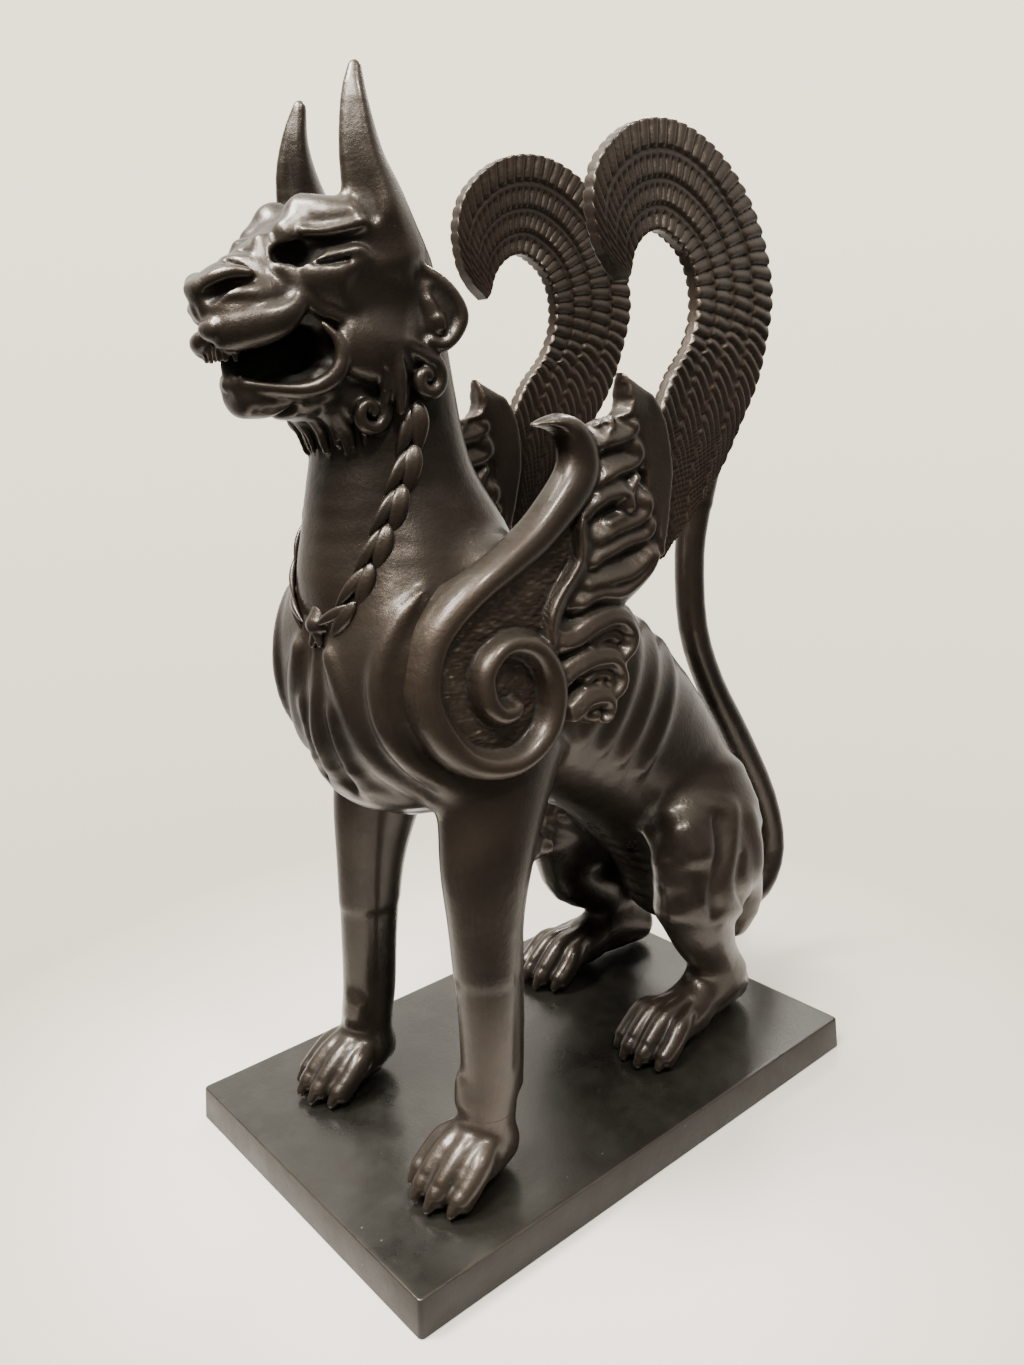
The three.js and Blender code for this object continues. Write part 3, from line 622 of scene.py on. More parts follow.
# Folds behind the lips, brows, lids and eye hollows, jaw, throat, mane and cheek ruff
head += [
    swellPair(3.5, [31, -212, 660, 3], [35, -204, 650, 3.5], [38, -197, 641, 3.8], [42, -189, 634, 4],
              [45, -181, 630, 3]),
    swellPair(14, [19, -186, 692, 11, 12], [34, -174, 690, 13, 11], [45, -160, 691, 11, 10],
              [50, -148, 694, 8, 9]),
    swellPair(5, [22, -199, 679, 10.5, 11], [24, -192, 684, 10.5, 10]),
    swellPair(5, [14, -212, 676, 6, 7], [17, -214, 666, 6, 7], [22, -212, 657, 5, 6]),
    swellPair(3.5, [37, -198, 681, 3.6, 3], [43, -189, 680.5, 4.2, 3], [50, -176, 683, 4.2, 3],
              [55, -163, 687, 3.6, 3], [57, -150, 692, 2.5, 2]),
    swellPair(2.5, [38, -198, 661, 3.6, 3.4], [44, -188, 664.5, 4.4, 3.6], [49, -177, 667.5, 4.4, 3.6],
              [53, -167, 669.5, 3.4], [54, -163, 664, 3], [51, -167, 658, 3]),
    swellPair(6, [40, -195, 655, 6], [44, -185, 655, 8, 7], [46, -174, 659, 7], [47, -164, 664, 5, 6]),
    groovePair(3, [44, -195, 661, 1.8], [50, -184, 662.5, 2.2, 2], [52, -175, 664.5, 1.8]),
    groovePair(0.8, [27, -209, 667, 7], [29, -200, 667, 9, 7.5], [38, -199, 668, 8, 6.5],
               [46, -191, 671, 6, 4]),
    groovePair(0.6, [41, -199, 672, 9, 3.6], [49, -187, 673.5, 8, 2.8], [55, -174, 675.5, 6, 2.2],
               [60, -161, 678, 4, 1.5]),
    groovePair(12, [60, -170, 648, 6, 8], [62, -150, 640, 7, 15], [59, -134, 634, 5, 12]),
    swellPair(2.5, [44, -193, 627, 2], [48, -185, 617, 3.6], [49, -183, 607, 4.8], [47.5, -186, 597, 6],
              [42, -193, 590, 6.4, 6.2], [35, -203, 587, 5.6, 5.4], [27, -215, 588, 4.6],
              [18, -227, 590, 4.4, 4.6], [8, -235, 591.5, 5, 5.4], [0, -237, 591.5, 4.8, 5.4]),
    groovePair(3, [32, -200, 597, 5, 3], [25, -212, 594, 5, 2.5], [16, -224, 593, 4, 2]),
    swellPair(4, [10, -232, 586, 9, 6], [5, -228, 582, 10, 6]),
    groovePair(4, [0, -212, 572, 30, 3], [24, -204, 573, 6, 3.5], [36, -190, 577, 6, 3.5]),
    swell(6, [0, -162, 590, 36, 30], [0, -154, 570, 35, 26], [0, -148, 552, 32, 24]),
    swellPair(1.2, [52, -145, 610, 5], [54, -143, 592, 5], [51, -142, 570, 3, 2.5]),
    swellPair(1.2, *curl(43, -161.5, 571.5, 12.5, 6, 25, 430, [
        [44, -160, 610, 6], [47, -154, 600, 6], [47, -149, 586, 6]])),
    swellPair(1.2, *curl(54, -122, 592, 13, 6.6, 85, 430, [[50, -138, 616, 6, 7], [53, -130, 612, 6.5]])),
    groovePair(1, *curl(48, -161.5, 571.5, 14.5, 1.2, 30, 300, [
        [52, -158, 604, 1], [53, -152, 594, 1.2], [53, -148, 584, 1.2]])),
    groovePair(1, *curl(60, -122, 592, 15, 1.2, 85, 300, [[57, -134, 614, 1.2]])),
    swellPair(3, [48, -118, 654, 6, 8], [54, -110, 641, 8, 13], [54, -111, 624, 8, 11]),
    swellPair(2, [50, -125, 663, 3], [55, -112, 657, 4], [60, -101, 646, 4.2], [62, -95, 632, 4.6],
              [60, -100, 620, 4.6], [58, -110, 613, 4.6], [56, -119, 616, 4]),
    groovePair(1.5, [60, -115, 648, 4, 5], [63, -109, 638, 4.5, 7], [62, -108, 624, 4, 5]),
    swellPair(1.5, [59, -114, 630, 5, 6], [59, -112, 625, 5]),
]
# Strands of the beard round the jaw, then the teeth
strands = 31
for k in range(strands):
    a = math.radians(-114 + 228 * k / (strands - 1))
    sway, drop = 2.5 * math.sin(k * 2.4), 3.5 * math.sin(k * 1.7)
    topX, topY = 38 * math.sin(a), -159 - 32 * math.cos(a)
    lowX, lowY = 35 * math.sin(a) + sway, -151 - 28 * math.cos(a)
    head.append(swell(0.6, [topX, topY, 594, 3.4], [topX * 1.06, topY - 3, 578, 3, 3.2],
                      [lowX * 1.05, lowY - 2.5, 562 + drop, 2.6, 2.8],
                      [lowX * 1.02, lowY + 1, 547 + drop, 1.6]))
for side in (-1, 1):
    for x, y in ((3, -247), (8.5, -247), (13.5, -245)):
        head.append(swell(0.8, [x * side, y, 614, 2.5], [x * side, y, 606, 2.2]))
        head.append(swell(0.8, [x * side * 0.92, y + 10, 591, 2.4], [x * side * 0.92, y + 9, 597, 2]))
    head.append(swell(0.8, [17 * side, -240, 613, 3], [17 * side, -240, 605, 1.8]))

# Ears: a tall shell, a hollow in front and a wide one at the side. The far ear's tip is lower
ears = []
for side, tip in ((1, 783.6), (-1, 774)):
    ears += [
        swell(7, [42 * side, -137, 668, 19, 28], [42 * side, -146, 700, 17.5, 22],
              [40 * side, -153, 726, 14.5, 16], [37 * side, -154, tip - 25, 10, 9.5],
              [34 * side, -150, tip - 4, 5, 4.6], dome=1, square=1.6),
        groove(3, [30 * side, -166, 703, 2, 3], [29 * side, -168, 712, 5, 6],
               [28.5 * side, -168, 724, 6, 7.5], [28.5 * side, -166, 744, 5, 6],
               [30 * side, -159, 764, 2, 2.5]),
        groove(8, [57 * side, -158, 690, 2, 3], [56 * side, -163, 704, 5, 6],
               [54 * side, -167, 720, 5, 6], [51 * side, -168, 738, 4, 5.5],
               [47.5 * side, -165, 754, 2.6, 3.5], [45 * side, -163, 766, 1, 1.2]),
    ]


# Four plump toes side by side: each a tendon from the wrist, a raised knuckle, a crease and a bent tip
def toesFor(x, y, flip, hind):
    forms = []
    start, knuckle, middle, end = ((50, 8, -10, -21) if hind else (6, -33, -51, -62))
    for k, spread in enumerate((-1.0, -0.35, 0.33, 0.98)):
        short = 11 * spread * spread
        dx = spread * 24 * flip
        low = 5 * spread * spread
        rows = [[x + dx * 0.40, y + start, 44 - low - 6 * hind, 7, 8],
                [x + dx * 0.62, y + (start + knuckle) / 2, 42 - low - 4 * hind, 7.5, 8],
                [x + dx * 0.90, y + knuckle + short * 0.5, 35 - low, 9.5, 10.5],
                [x + dx * 1.02, y + middle + short, 23 - low * 0.6, 9.2, 10],
                [x + dx * 1.03, y + end + short, 10.5, 8.8, 10.5]]
        forms.append(swell(2.4, *rows, steps=4))
        ty, tx = y + end + short, x + dx * 1.03
        forms.append(groove(1.5, [tx - 8, ty - 1, 22, 1.3, 1.5], [tx, ty - 3.5, 23.5, 1.3, 1.8],
                            [tx + 8, ty - 1, 22, 1.3, 1.5]))
        forms.append(swell(1, [tx, ty - 6, 9, 5, 6], [tx, ty - 9.5, 5, 3.6, 4.4]))
    return forms


# Paws: the pad of each, and its toes
paws = []
for x, y, flip in forefeet:
    paws.append(swell(10, [x, y + 5, 21, 18], [x, y - 10, 25, 24], [x, y - 34, 21, 28, 20],
                      [x, y - 48, 12, 27, 13]))
    paws += toesFor(x, y, flip, False)
for x, y, flip in hindfeet:
    paws.append(swell(10, [x, y + 50, 22, 20], [x, y + 14, 20, 26, 18], [x, y - 2, 12, 27, 13]))
    paws += toesFor(x, y, flip, True)


# Lays the forms that reach the given space. Each dark place is a centre and radii where no light gets in,
# painted black as shade
def makeClay(name, low, high, step, forms, trims=(), dark=()):
    space = ClaySpace(low, high, step)
    lay(space, forms)
    space.soften()
    points, faces, proud, buried = space.skin()
    for centre, radii in dark:
        away = np.linalg.norm((points - centre) / radii, axis=1)
        buried = np.maximum(buried, np.clip((clay["shadeFrom"] - away) / clay["shadeFade"], 0, 1))
    return finishPiece(name, points, faces, bronze, trims=trims, wear=proud, buried=buried)


# How fine each piece is, the heights where head and paws are joined to the body, and the mouth and eye
# hollows painted black as shade
casting = {
    "bodyStep": 3.0, "headStep": 1.5, "tailStep": 1.8, "pawStep": 1.5, "neckSeam": 538, "wristSeam": 56,
    "paintedShading": [((0, -207, 606), (38, 37, 17)), ((30, -202, 667), (13, 14, 8)),
                ((-30, -202, 667), (13, 14, 8))],
}
neckSeam, wristSeam = casting["neckSeam"], casting["wristSeam"]
makeClay("body", (-132, -246, wristSeam - 12), (132, 366, neckSeam + 9),
         casting["bodyStep"] * clay["coarser"], torso + legs + head + ears + paws,
         [(neckSeam, 1), (wristSeam, -1)])
makeClay("head", (-72, -268, neckSeam - 6), (72, -60, 790), casting["headStep"] * clay["coarser"],
         torso + head + ears, [(neckSeam, -1)], casting["paintedShading"])
makeClay("tail", (-28, 184, 28), (32, 366, 612), casting["tailStep"] * clay["coarser"], tail)
for name, (x, y, flip, back, front) in stance.items():
    makeClay(name, (x - 38, y - front, -6), (x + 38, y + back, wristSeam + 5),
             casting["pawStep"] * clay["coarser"], torso + legs + paws, [(0, -1), (wristSeam, 1)])
print("body and head laid")

# Feathered blade: pairs of points, y and z, on its outer and inner edge, from the foot to the hooked tip.
# Slant and pitch are given at shares of its length, the pitch for each of the four bands across it
blade = {
    "thickness": 14, "lean": 0.062, "footX": 99, "footZ": 456, "relief": 3.6, "steps": (400, 61),
    "quickSteps": (230, 60), "fullWidth": (4, 46), "footShare": (0.12, 0.42),
    "rail": 0.24, "railFrom": (0.4, 0.6), "barbEnds": (0.93, 1.0), "bandDrop": (0.93, 0.995),
    "barbHeight": 0.27, "barbMost": 3.2, "edgeRound": 1.3,
    "bandOffset": 0.37, "barbLean": 0.68, "barbRound": 2.2, "terraceHigh": 0.66, "footFlat": 0.2,
    "outer": [
        (131, 506), (148, 523), (173, 555), (193, 582), (206, 611), (216, 645), (215, 670), (204, 702),
        (181, 734), (144, 761), (100, 773), (56, 766), (22, 742), (10, 714), (14, 686), (25, 669),
        (40, 657)],
    "inner": [
        (64, 452), (58, 486), (58, 522), (68, 556), (86, 588), (108, 612), (119, 636), (118, 661),
        (108, 679), (94, 689), (80, 694), (66, 691), (56, 684), (50, 676), (47, 668), (45, 662),
        (41, 657.5)],
    "bands": [0, 0.27, 0.53, 0.77, 1.0],
    "slantAt": [0, 0.12, 0.22, 0.34, 0.46, 0.6, 0.74, 0.88, 1],
    "slant": [5.5, 5.0, 3.4, 1.4, 0.5, 0.1, 0.2, 1.0, 1.6],
    "pitchAt": [0, 0.2, 0.38, 0.55, 0.7, 1],
    "pitch": [[14, 13, 12, 11, 10, 9], [14, 13, 11.5, 8, 6.8, 6.5], [14, 13, 11, 7.5, 6.2, 6],
              [14, 13, 11, 9, 8, 7]],
}


# The wing's plane leans inwards with height
def wingX(z):
    return blade["footX"] - blade["lean"] * (z - blade["footZ"])


# Height of the feathers, and their painted light and shade: highlight on the barbs' tops and high on each
# terrace, painted shade in the gaps between barbs and low on each terrace. In each band a smooth rail rises
# to the barbs, whose ends stand up over the next band. A barb is a pillow across its own pitch, and its
# line leans more towards the foot
def featherHeight(share, across, outer, inner):
    height = np.zeros((len(share), len(across)))
    paintedShading = np.zeros_like(height)
    size = smoothStep(*blade["fullWidth"], np.linalg.norm(outer - inner, axis=1))[:, None]
    foot = 1 - smoothStep(*blade["footShare"], share)[:, None]
    slant = np.interp(share, blade["slantAt"], blade["slant"])[:, None]
    for k, (a, b) in enumerate(zip(blade["bands"][:-1], blade["bands"][1:])):
        last = k == len(blade["pitch"]) - 1
        here = (across >= a) & (across <= b) if last else (across >= a) & (across < b)
        v = ((across[here] - a) / (b - a))[None, :]
        run = runAlong(outer + (inner - outer) * (a + b) / 2)
        pitch = np.interp(share, blade["pitchAt"], blade["pitch"][k])[:, None]
        count = np.r_[0, np.cumsum(np.diff(run) / pitch[1:, 0])][:, None]
        phase = count - slant * v + blade["bandOffset"] * k
        p = phase - np.floor(phase)
        pillow = 1 - np.abs(2 * p ** blade["barbLean"] - 1) ** blade["barbRound"]
        rail = (blade["rail"] if k else 0.0) * smoothStep(*blade["railFrom"], share)[:, None]
        rise, fall = smoothStep(rail, rail + 0.1, v), 1 - smoothStep(*blade["barbEnds"], v)
        climb = smoothStep(0, rail + 0.02, v) * 0.45 + smoothStep(rail, 0.9, v) * 0.55
        drop = 1 - smoothStep(*blade["bandDrop"], v)
        if k == 0:
            ends, terrace = fall, (0.5 + 0.5 * smoothStep(0, 0.8, v)) * drop
        elif last:
            ends, terrace = rise, climb
        else:
            ends, terrace = rise * fall, climb * drop
        step = blade["relief"] * (blade["terraceHigh"] - blade["footFlat"] * foot)
        barb = np.minimum(pitch * blade["barbHeight"], blade["barbMost"]) * (1 - blade["footFlat"] * foot)
        height[:, here] = ((terrace - 1) * step + (pillow - 1) * ends * barb) * size
        paintedShading[:, here] = (pillow * 1.6 - 0.9) * ends * size + (terrace - 0.6) * size
    return height, paintedShading


# A closed strip: across the outer face, round the inner edge, back over the inner face, round the outer
# edge. The face's place is the blend of the two edge curves, raised by the feathers' height
def featherBlade(name, flip):
    lengthSteps, widthSteps = blade["steps"]
    pairs = smoothRows([[*a, *b] for a, b in zip(blade["outer"], blade["inner"])], 60)
    middle = (pairs[:, :2] + pairs[:, 2:]) / 2
    run = runAlong((middle + pairs[:, :2]) / 2)
    share = np.linspace(0, 1, lengthSteps)
    at = np.interp(share, run / run[-1], np.arange(len(run)))
    pairs = np.stack([np.interp(at, np.arange(len(run)), pairs[:, k]) for k in range(4)], 1)
    outer, inner = pairs[:, :2], pairs[:, 2:]
    across = np.linspace(0, 1, widthSteps)
    height, paintedShading = featherHeight(share, across, outer, inner)
    width = np.linalg.norm(outer - inner, axis=1)[:, None]
    fromEdge = np.minimum(across, 1 - across)[None, :] * width
    height -= blade["edgeRound"] * (1 - np.clip(fromEdge / 1.8, 0, 1)) ** 2
    scallop = np.clip(-height[:, :1] * 0.28, 0, 1.2) * (across < 0.02)
    inward = np.maximum(across[None, :], scallop / np.maximum(width, 4))[..., None]
    flat = outer[:, None] + (inner - outer)[:, None] * inward
    y, z = flat[..., 0], flat[..., 1]
    face = np.stack([wingX(z) + height, y, z], -1)
    back = np.stack([wingX(z) - blade["thickness"] - height, y, z], -1)
    lips = np.linspace(0, 1, 5)[1:-1][None, :, None]
    innerLip = face[:, -1:] * (1 - lips) + back[:, -1:] * lips
    outerLip = back[:, :1] * (1 - lips) + face[:, :1] * lips
    ring = np.concatenate([face, innerLip, back[:, ::-1], outerLip], 1)
    lipShade = np.ones((lengthSteps, 3))
    shade = np.concatenate([paintedShading, lipShade * 0.1, paintedShading[:, ::-1], lipShade * 0.2], 1)
    rows, columns = ring.shape[:2]
    ring = ring.reshape(-1, 3)
    ring = np.vstack([ring, ring[:columns].mean(0), ring[-columns:].mean(0)])
    j = np.arange(columns)
    top = (rows - 1) * columns
    footCap = np.stack([np.full(columns, rows * columns), (j + 1) % columns, j], 1)
    tipCap = np.stack([np.full(columns, rows * columns + 1), top + j, top + (j + 1) % columns], 1)
    faces = tubeFaces(rows, columns).tolist() + footCap.tolist() + tipCap.tolist()
    ring[:, 0] *= flip
    triangle = ring[np.array([f[:3] for f in faces])]
    if (np.cross(triangle[:, 0], triangle[:, 1]) * triangle[:, 2]).sum() < 0:
        faces = [f[::-1] for f in faces]
    # The blade's painted highlight and shade go in with the wear colours, with a little highlight on its
    # edges
    wear = np.r_[shade.ravel(), 0, 0] * 0.6
    return finishPiece(name, ring, faces, wingBronze, wear=wear, ground=np.zeros(len(ring)))


featherBlade("nearBlade", 1)
featherBlade("farBlade", -1)
print("feathered blades made")

# Carved panel at the wing's root, as lines in the wing's plane: y, z, and a half width where it counts.
# A ridge is a line with its top and its spread, and a ball a place with its radius and its top
panel = {
    "outline": [
        (28, 598), (37, 591), (46, 586), (53, 582), (60, 579), (65, 573), (70, 566), (75, 557),
        (77, 548), (79, 537), (80, 526), (80, 515), (78, 504), (76, 495), (74, 484), (71, 473), (68, 464),
        (66, 452), (58, 444), (51, 440), (44, 433), (37, 428), (30, 421), (27, 415), (28, 409), (31, 403),
        (32, 396), (29, 390), (25, 385), (18, 382), (14, 379), (16, 371), (16, 365), (14, 360), (10, 356),
        (3, 354), (0, 346), (-3, 340), (-9, 337), (-18, 337), (-30, 345), (-46, 345), (-62, 326),
        (-98, 320), (-140, 335), (-165, 375), (-158, 415), (-140, 438), (-90, 470), (-40, 502), (-20, 530),
        (-13, 546), (-4, 557), (9, 561), (18, 562), (26, 564), (31, 568), (33, 573), (32, 579), (31, 585)],
    "plateLeft": [
        (64, 453), (58, 460), (57, 469), (56, 481), (54, 489), (52, 498), (49, 506), (48, 515),
        (47, 524), (45, 531), (44, 539), (41, 546), (41, 553), (37, 559), (28, 561.5), (18, 559.5),
        (9, 557.5), (-4, 556)],
    "band": [
        (-56, 559, 1), (-42, 560, 4.5), (-28, 557, 9.5), (-18, 546, 14), (-15, 532, 16.5),
        (-21, 518, 16.5), (-38, 502, 15), (-62, 484, 13.5), (-90, 469, 12), (-118, 455, 11),
        (-142, 437, 10.5), (-157, 415, 10.5)],
    "volute": {
        "centre": (-98, 378),
        "turns": [180, 225, 270, 315, 360, 405, 450, 495, 540, 585, 630, 655],
        "reach": [63.5, 57, 50.5, 46, 41, 37.5, 34, 28, 21.5, 17, 13, 11],
        "half": [11, 10.5, 9.5, 10.5, 11.5, 10, 8, 8.5, 9.5, 9, 8, 6.5],
    },
    "innerLeaf": [
        (-18, 497, 1), (-18, 485, 7), (-17, 471, 8.5), (-20, 459, 8), (-29, 449, 7.5),
        (-38, 441, 7.5), (-45, 433, 7.5), (-50.5, 424, 7.5), (-53, 413, 7.5), (-53, 402, 7)],
    "spine": [
        (4, 562), (-8, 540), (-12, 516), (-16, 500), (-18, 480), (-25, 455), (-38, 434), (-47, 414),
        (-50, 394), (-46, 370), (-44, 346)],
    "crests": [
        [(3, 541), (8, 544), (18, 545), (29, 547), (36, 551), (37.5, 556)],
        [(-4, 514), (4, 518), (11, 521), (19, 524), (30, 526), (38, 529), (41, 534), (37, 541)],
        [(-13, 494), (-9, 499), (-3, 502), (5, 505), (13, 506), (21, 506), (26, 503), (27, 497)],
        [(-2, 474), (1, 476), (13, 480), (24, 482), (35, 484), (43, 487), (48, 493), (47, 499)],
        [(-10, 458), (-1, 463), (12, 467), (23, 470), (34, 471), (42, 472), (48, 475), (50, 481)],
        [(-16, 442), (-5, 443), (8, 444), (23, 445), (35, 449), (43, 453), (48, 458)],
        [(-24, 430), (-13, 434), (-3, 435), (7, 433), (18, 433), (29, 437), (39, 442), (47, 448),
         (53, 457)],
    ],
    "hoods": [
        [(-45, 402), (-31, 403), (-20, 408), (-10, 411), (3, 413), (14, 411), (22, 405), (25, 398),
         (22, 391), (15, 386)],
        [(-48, 374), (-38, 380), (-29, 383), (-20, 385), (-10, 385), (2, 383), (9, 377), (12, 370),
         (10, 364), (4, 359)],
        [(-47, 341), (-39, 348), (-32, 352), (-26, 356), (-15, 356.5), (-6, 354), (-2, 348), (-3, 342),
         (-8, 338)],
    ],
    "ridges": [
        ([(15, 556), (11, 551), (5, 545)], 3.5, 2.6),
        ([(39, 517), (34, 511), (31, 505), (28, 497)], 4, 3), ([(7, 485), (15, 487), (23, 489)], 3.5, 3.5),
        ([(-14, 400), (-6, 403), (5, 403), (13, 399)], 1, 4.5),
        ([(-24, 372), (-14, 376), (-4, 375), (2, 370), (1, 363)], 1.5, 3),
        ([(60, 485), (58, 470)], 4, 2.2)],
    "balls": [(28, 549, 5, 4), (20.5, 395, 6.5, 3.5), (-9, 369, 5, 1), (6, 366, 5, 2), (-17, 345, 7.5, 3)],
    "bandTop": 8, "groundTop": -7, "plateTop": 2.5, "crestTop": 6,
    "floor": -9.5, "lowest": -9, "nothing": -30,
    "crest": {"over": 0.8, "under": 1.15, "reach": 13, "lip": 1.5},
    "hood": {"over": 0.5, "under": 1.5, "reach": 11, "lip": 0},
    "clearOfLeaf": (1.05, 1.7), "clearOfBand": (1.1, 1.6),  # where hammered ground starts, in half widths
    "floorEdge": (-1.5, 1.5), "lipFrom": 0.75, "crestFlat": (1.2, 0.8), "backFall": 2.4,
    "creaseDepth": 0.5, "creaseHalf": 1.4, "ridgeFall": 2.4,
    "ballFall": 7, "leafFade": (0.92, 1.2), "leafMiddle": 0.5, "leafTilt": 2.8, "leafMost": 1.2,
    "plateFall": 2.4, "plateEdge": 3, "hornAbove": 553, "hornBehind": 60, "bandSink": 3, "bandRound": 0.75,
    "deepBelow": (470, 440), "thinAbove": (574, 600), "outerFace": -12,
    "space": ((-44, -178, 306), (14, 92, 606)), "step": 1.62, "rounded": 1.6,
}


# For each place: the distance to a smooth path, which side of it, the share along it and its width
def nearestOnPath(y, z, path, steps=6):
    rows = smoothRows(path, steps)
    best = np.full(y.shape, 1e9)
    side, share, half = np.ones_like(best), np.zeros_like(best), np.zeros_like(best)
    widths = rows[:, 2] if rows.shape[1] > 2 else np.ones(len(rows))
    for k in range(len(rows) - 1):
        a, b = rows[k, :2], rows[k + 1, :2]
        d = b - a
        t = np.clip(((y - a[0]) * d[0] + (z - a[1]) * d[1]) / (d @ d + 1e-9), 0, 1)
        py, pz = y - a[0] - d[0] * t, z - a[1] - d[1] * t
        gap = np.hypot(py, pz)
        closer = gap < best
        best = np.where(closer, gap, best)
        side = np.where(closer, np.sign(d[0] * pz - d[1] * py + 1e-9), side)
        share = np.where(closer, (k + t) / (len(rows) - 1), share)
        half = np.where(closer, widths[k] + (widths[k + 1] - widths[k]) * t, half)
    return best, side, share, half


# Signed distance to a closed outline, negative inside
def insideOutline(y, z, outline):
    ring = np.array(outline, float)
    best = np.full(y.shape, 1e9)
    inside = np.zeros(y.shape, bool)
    for a, b in zip(ring, np.roll(ring, -1, 0)):
        d = b - a
        t = np.clip(((y - a[0]) * d[0] + (z - a[1]) * d[1]) / (d @ d), 0, 1)
        best = np.minimum(best, np.hypot(y - a[0] - d[0] * t, z - a[1] - d[1] * t))
        crosses = (a[1] > z) != (b[1] > z)
        reach = a[0] + (z - a[1]) / (d[1] if abs(d[1]) > 1e-9 else 1e-9) * d[0]
        inside ^= crosses & (y < reach)
    return np.where(inside, -best, best)


# The hammer's dents: a turned lattice of flat cells, and two layers, each a height and a cell's width
dents = {
    "seed": 7, "lattice": 128, "cosine": 0.9, "sine": 0.42, "flat": 0.6, "shift": (60, 20),
    "coarse": (0.75, 7.5), "fine": (0.3, 4.5),
}


# Each lattice corner has a random height, and between corners they blend smoothly
def hammered(y, z, cell):
    size, c, s = dents["lattice"], dents["cosine"], dents["sine"]
    lattice = np.random.default_rng(dents["seed"]).uniform(-1, 1, (size, size))
    u = (y * c + z * s) / cell + dents["shift"][0]
    v = (z * c - y * s) / (cell * dents["flat"]) + dents["shift"][1]
    i, j = np.floor(u).astype(int), np.floor(v).astype(int)
    s, t = smoothStep(0, 1, u - i), smoothStep(0, 1, v - j)
    corner = [lattice[(i + a) % size, (j + b) % size] for a in (0, 1) for b in (0, 1)]
    return (corner[0] * (1 - s) + corner[2] * s) * (1 - t) + (corner[1] * (1 - s) + corner[3] * s) * t


# Height of the carving over the wing's plane, the panel's outline, and where the ground is hammered
def panelRelief(y, z):
    p = panel
    outline = insideOutline(y, z, p["outline"])
    height = np.full(y.shape, float(p["groundTop"]))

    # Floor under the leaves, right of the inner leaf
    leafGap, leafSide, _, leafHalf = nearestOnPath(y, z, p["innerLeaf"])
    gap, side, _, _ = nearestOnPath(y, z, p["spine"])
    leafy = smoothStep(*p["floorEdge"], gap * side)
    height += (p["floor"] - height) * leafy
    ground = 1 - leafy

    # Leaves: the face climbs to a crest, and the far side of the crest falls steeply into the next hollow
    for shape, crests in ((p["crest"], p["crests"]), (p["hood"], p["hoods"])):
        for crest in crests:
            gap, side, share, _ = nearestOnPath(y, z, crest, 8)
            top = p["crestTop"] * (0.6 + 0.4 * smoothStep(0, 0.3, share))
            top = top + shape["lip"] * smoothStep(p["lipFrom"], 1, share)
            over = np.where(side > 0, gap, 0)
            under = np.where(side > 0, 0, gap)
            flatOver, flatUnder = p["crestFlat"]
            lobe = top - shape["over"] * np.maximum(over - flatOver, 0)
            lobe = lobe - np.maximum(over - shape["reach"], 0) * p["backFall"]
            lobe = lobe - shape["under"] * np.maximum(under - flatUnder, 0)
            lobe = lobe - p["creaseDepth"] * np.exp(-(gap / p["creaseHalf"]) ** 2)
            height = np.maximum(height, np.where(leafy > 0.02, lobe, p["nothing"]))
    for ridge, top, spread in p["ridges"]:
        gap, _, _, _ = nearestOnPath(y, z, ridge)
        height = np.maximum(height, top - (gap / spread) ** 2 * p["ridgeFall"])
    for by, bz, radius, top in p["balls"]:
        height = np.maximum(height, top - (np.hypot(y - by, z - bz) / radius) ** 2 * p["ballFall"])

    # Smooth inner leaf, highest along its edge towards the leaves
    ratio = leafGap / np.maximum(leafHalf, 1)
    face = np.clip(-leafSide * leafGap / np.maximum(leafHalf, 1), -p["leafMost"], p["leafMost"])
    face = p["leafMiddle"] + p["leafTilt"] * face
    inLeaf = 1 - smoothStep(*p["leafFade"], ratio)
    height = np.where(inLeaf > 0, np.maximum(height, face * inLeaf + (1 - inLeaf) * p["lowest"]), height)
    ground = ground * smoothStep(*p["clearOfLeaf"], ratio)

    # Crescent: a smooth plate between the outer edge and the leaves, with its horn at the top
    edge = -insideOutline(y, z, p["outline"][:18] + p["plateLeft"] + p["outline"][-7:])
    plate = p["plateTop"] - p["plateFall"] * np.clip(1 - edge / p["plateEdge"], 0, 1) ** 2
    plate = plate + np.clip((z - 556) / 14, 0, 1) * np.clip(1.2 - (y - 31) / 18, 0, 1) * 2.5
    carved = np.maximum(plate, np.where(y < p["hornBehind"], height, p["nothing"]))
    height = np.where(edge > 0, np.where(z > p["hornAbove"], plate, carved), height)
    ground = np.where(edge > 0, 0, ground)

    # Scroll band, from its horn round into the volute
    v = p["volute"]
    (cy, cz), turns = v["centre"], np.radians(v["turns"])
    coil = [(cy + math.cos(a) * r, cz + math.sin(a) * r, h)
            for a, r, h in zip(turns, v["reach"], v["half"])]
    gap, _, _, half = nearestOnPath(y, z, p["band"] + coil, 8)
    q = gap / np.maximum(half, 0.5)
    dome = np.sqrt(np.clip(1 - (q * 0.98) ** 2, 0, 1))
    sink = np.clip(half / 10, 0.2, 1)
    bandLow = p["groundTop"] - p["bandSink"]
    band = bandLow + (p["bandTop"] - bandLow) * dome ** p["bandRound"] * (0.45 + 0.55 * sink)
    height = np.where(q < 1, np.maximum(band, p["lowest"]), height)
    ground = ground * smoothStep(*p["clearOfBand"], q)
    outline = np.minimum(outline, gap - half)
    (coarse, coarseCell), (fine, fineCell) = dents["coarse"], dents["fine"]
    height = height + ground * (coarse * hammered(y, z, coarseCell) + fine * hammered(z, y, fineCell))
    return height, outline, ground


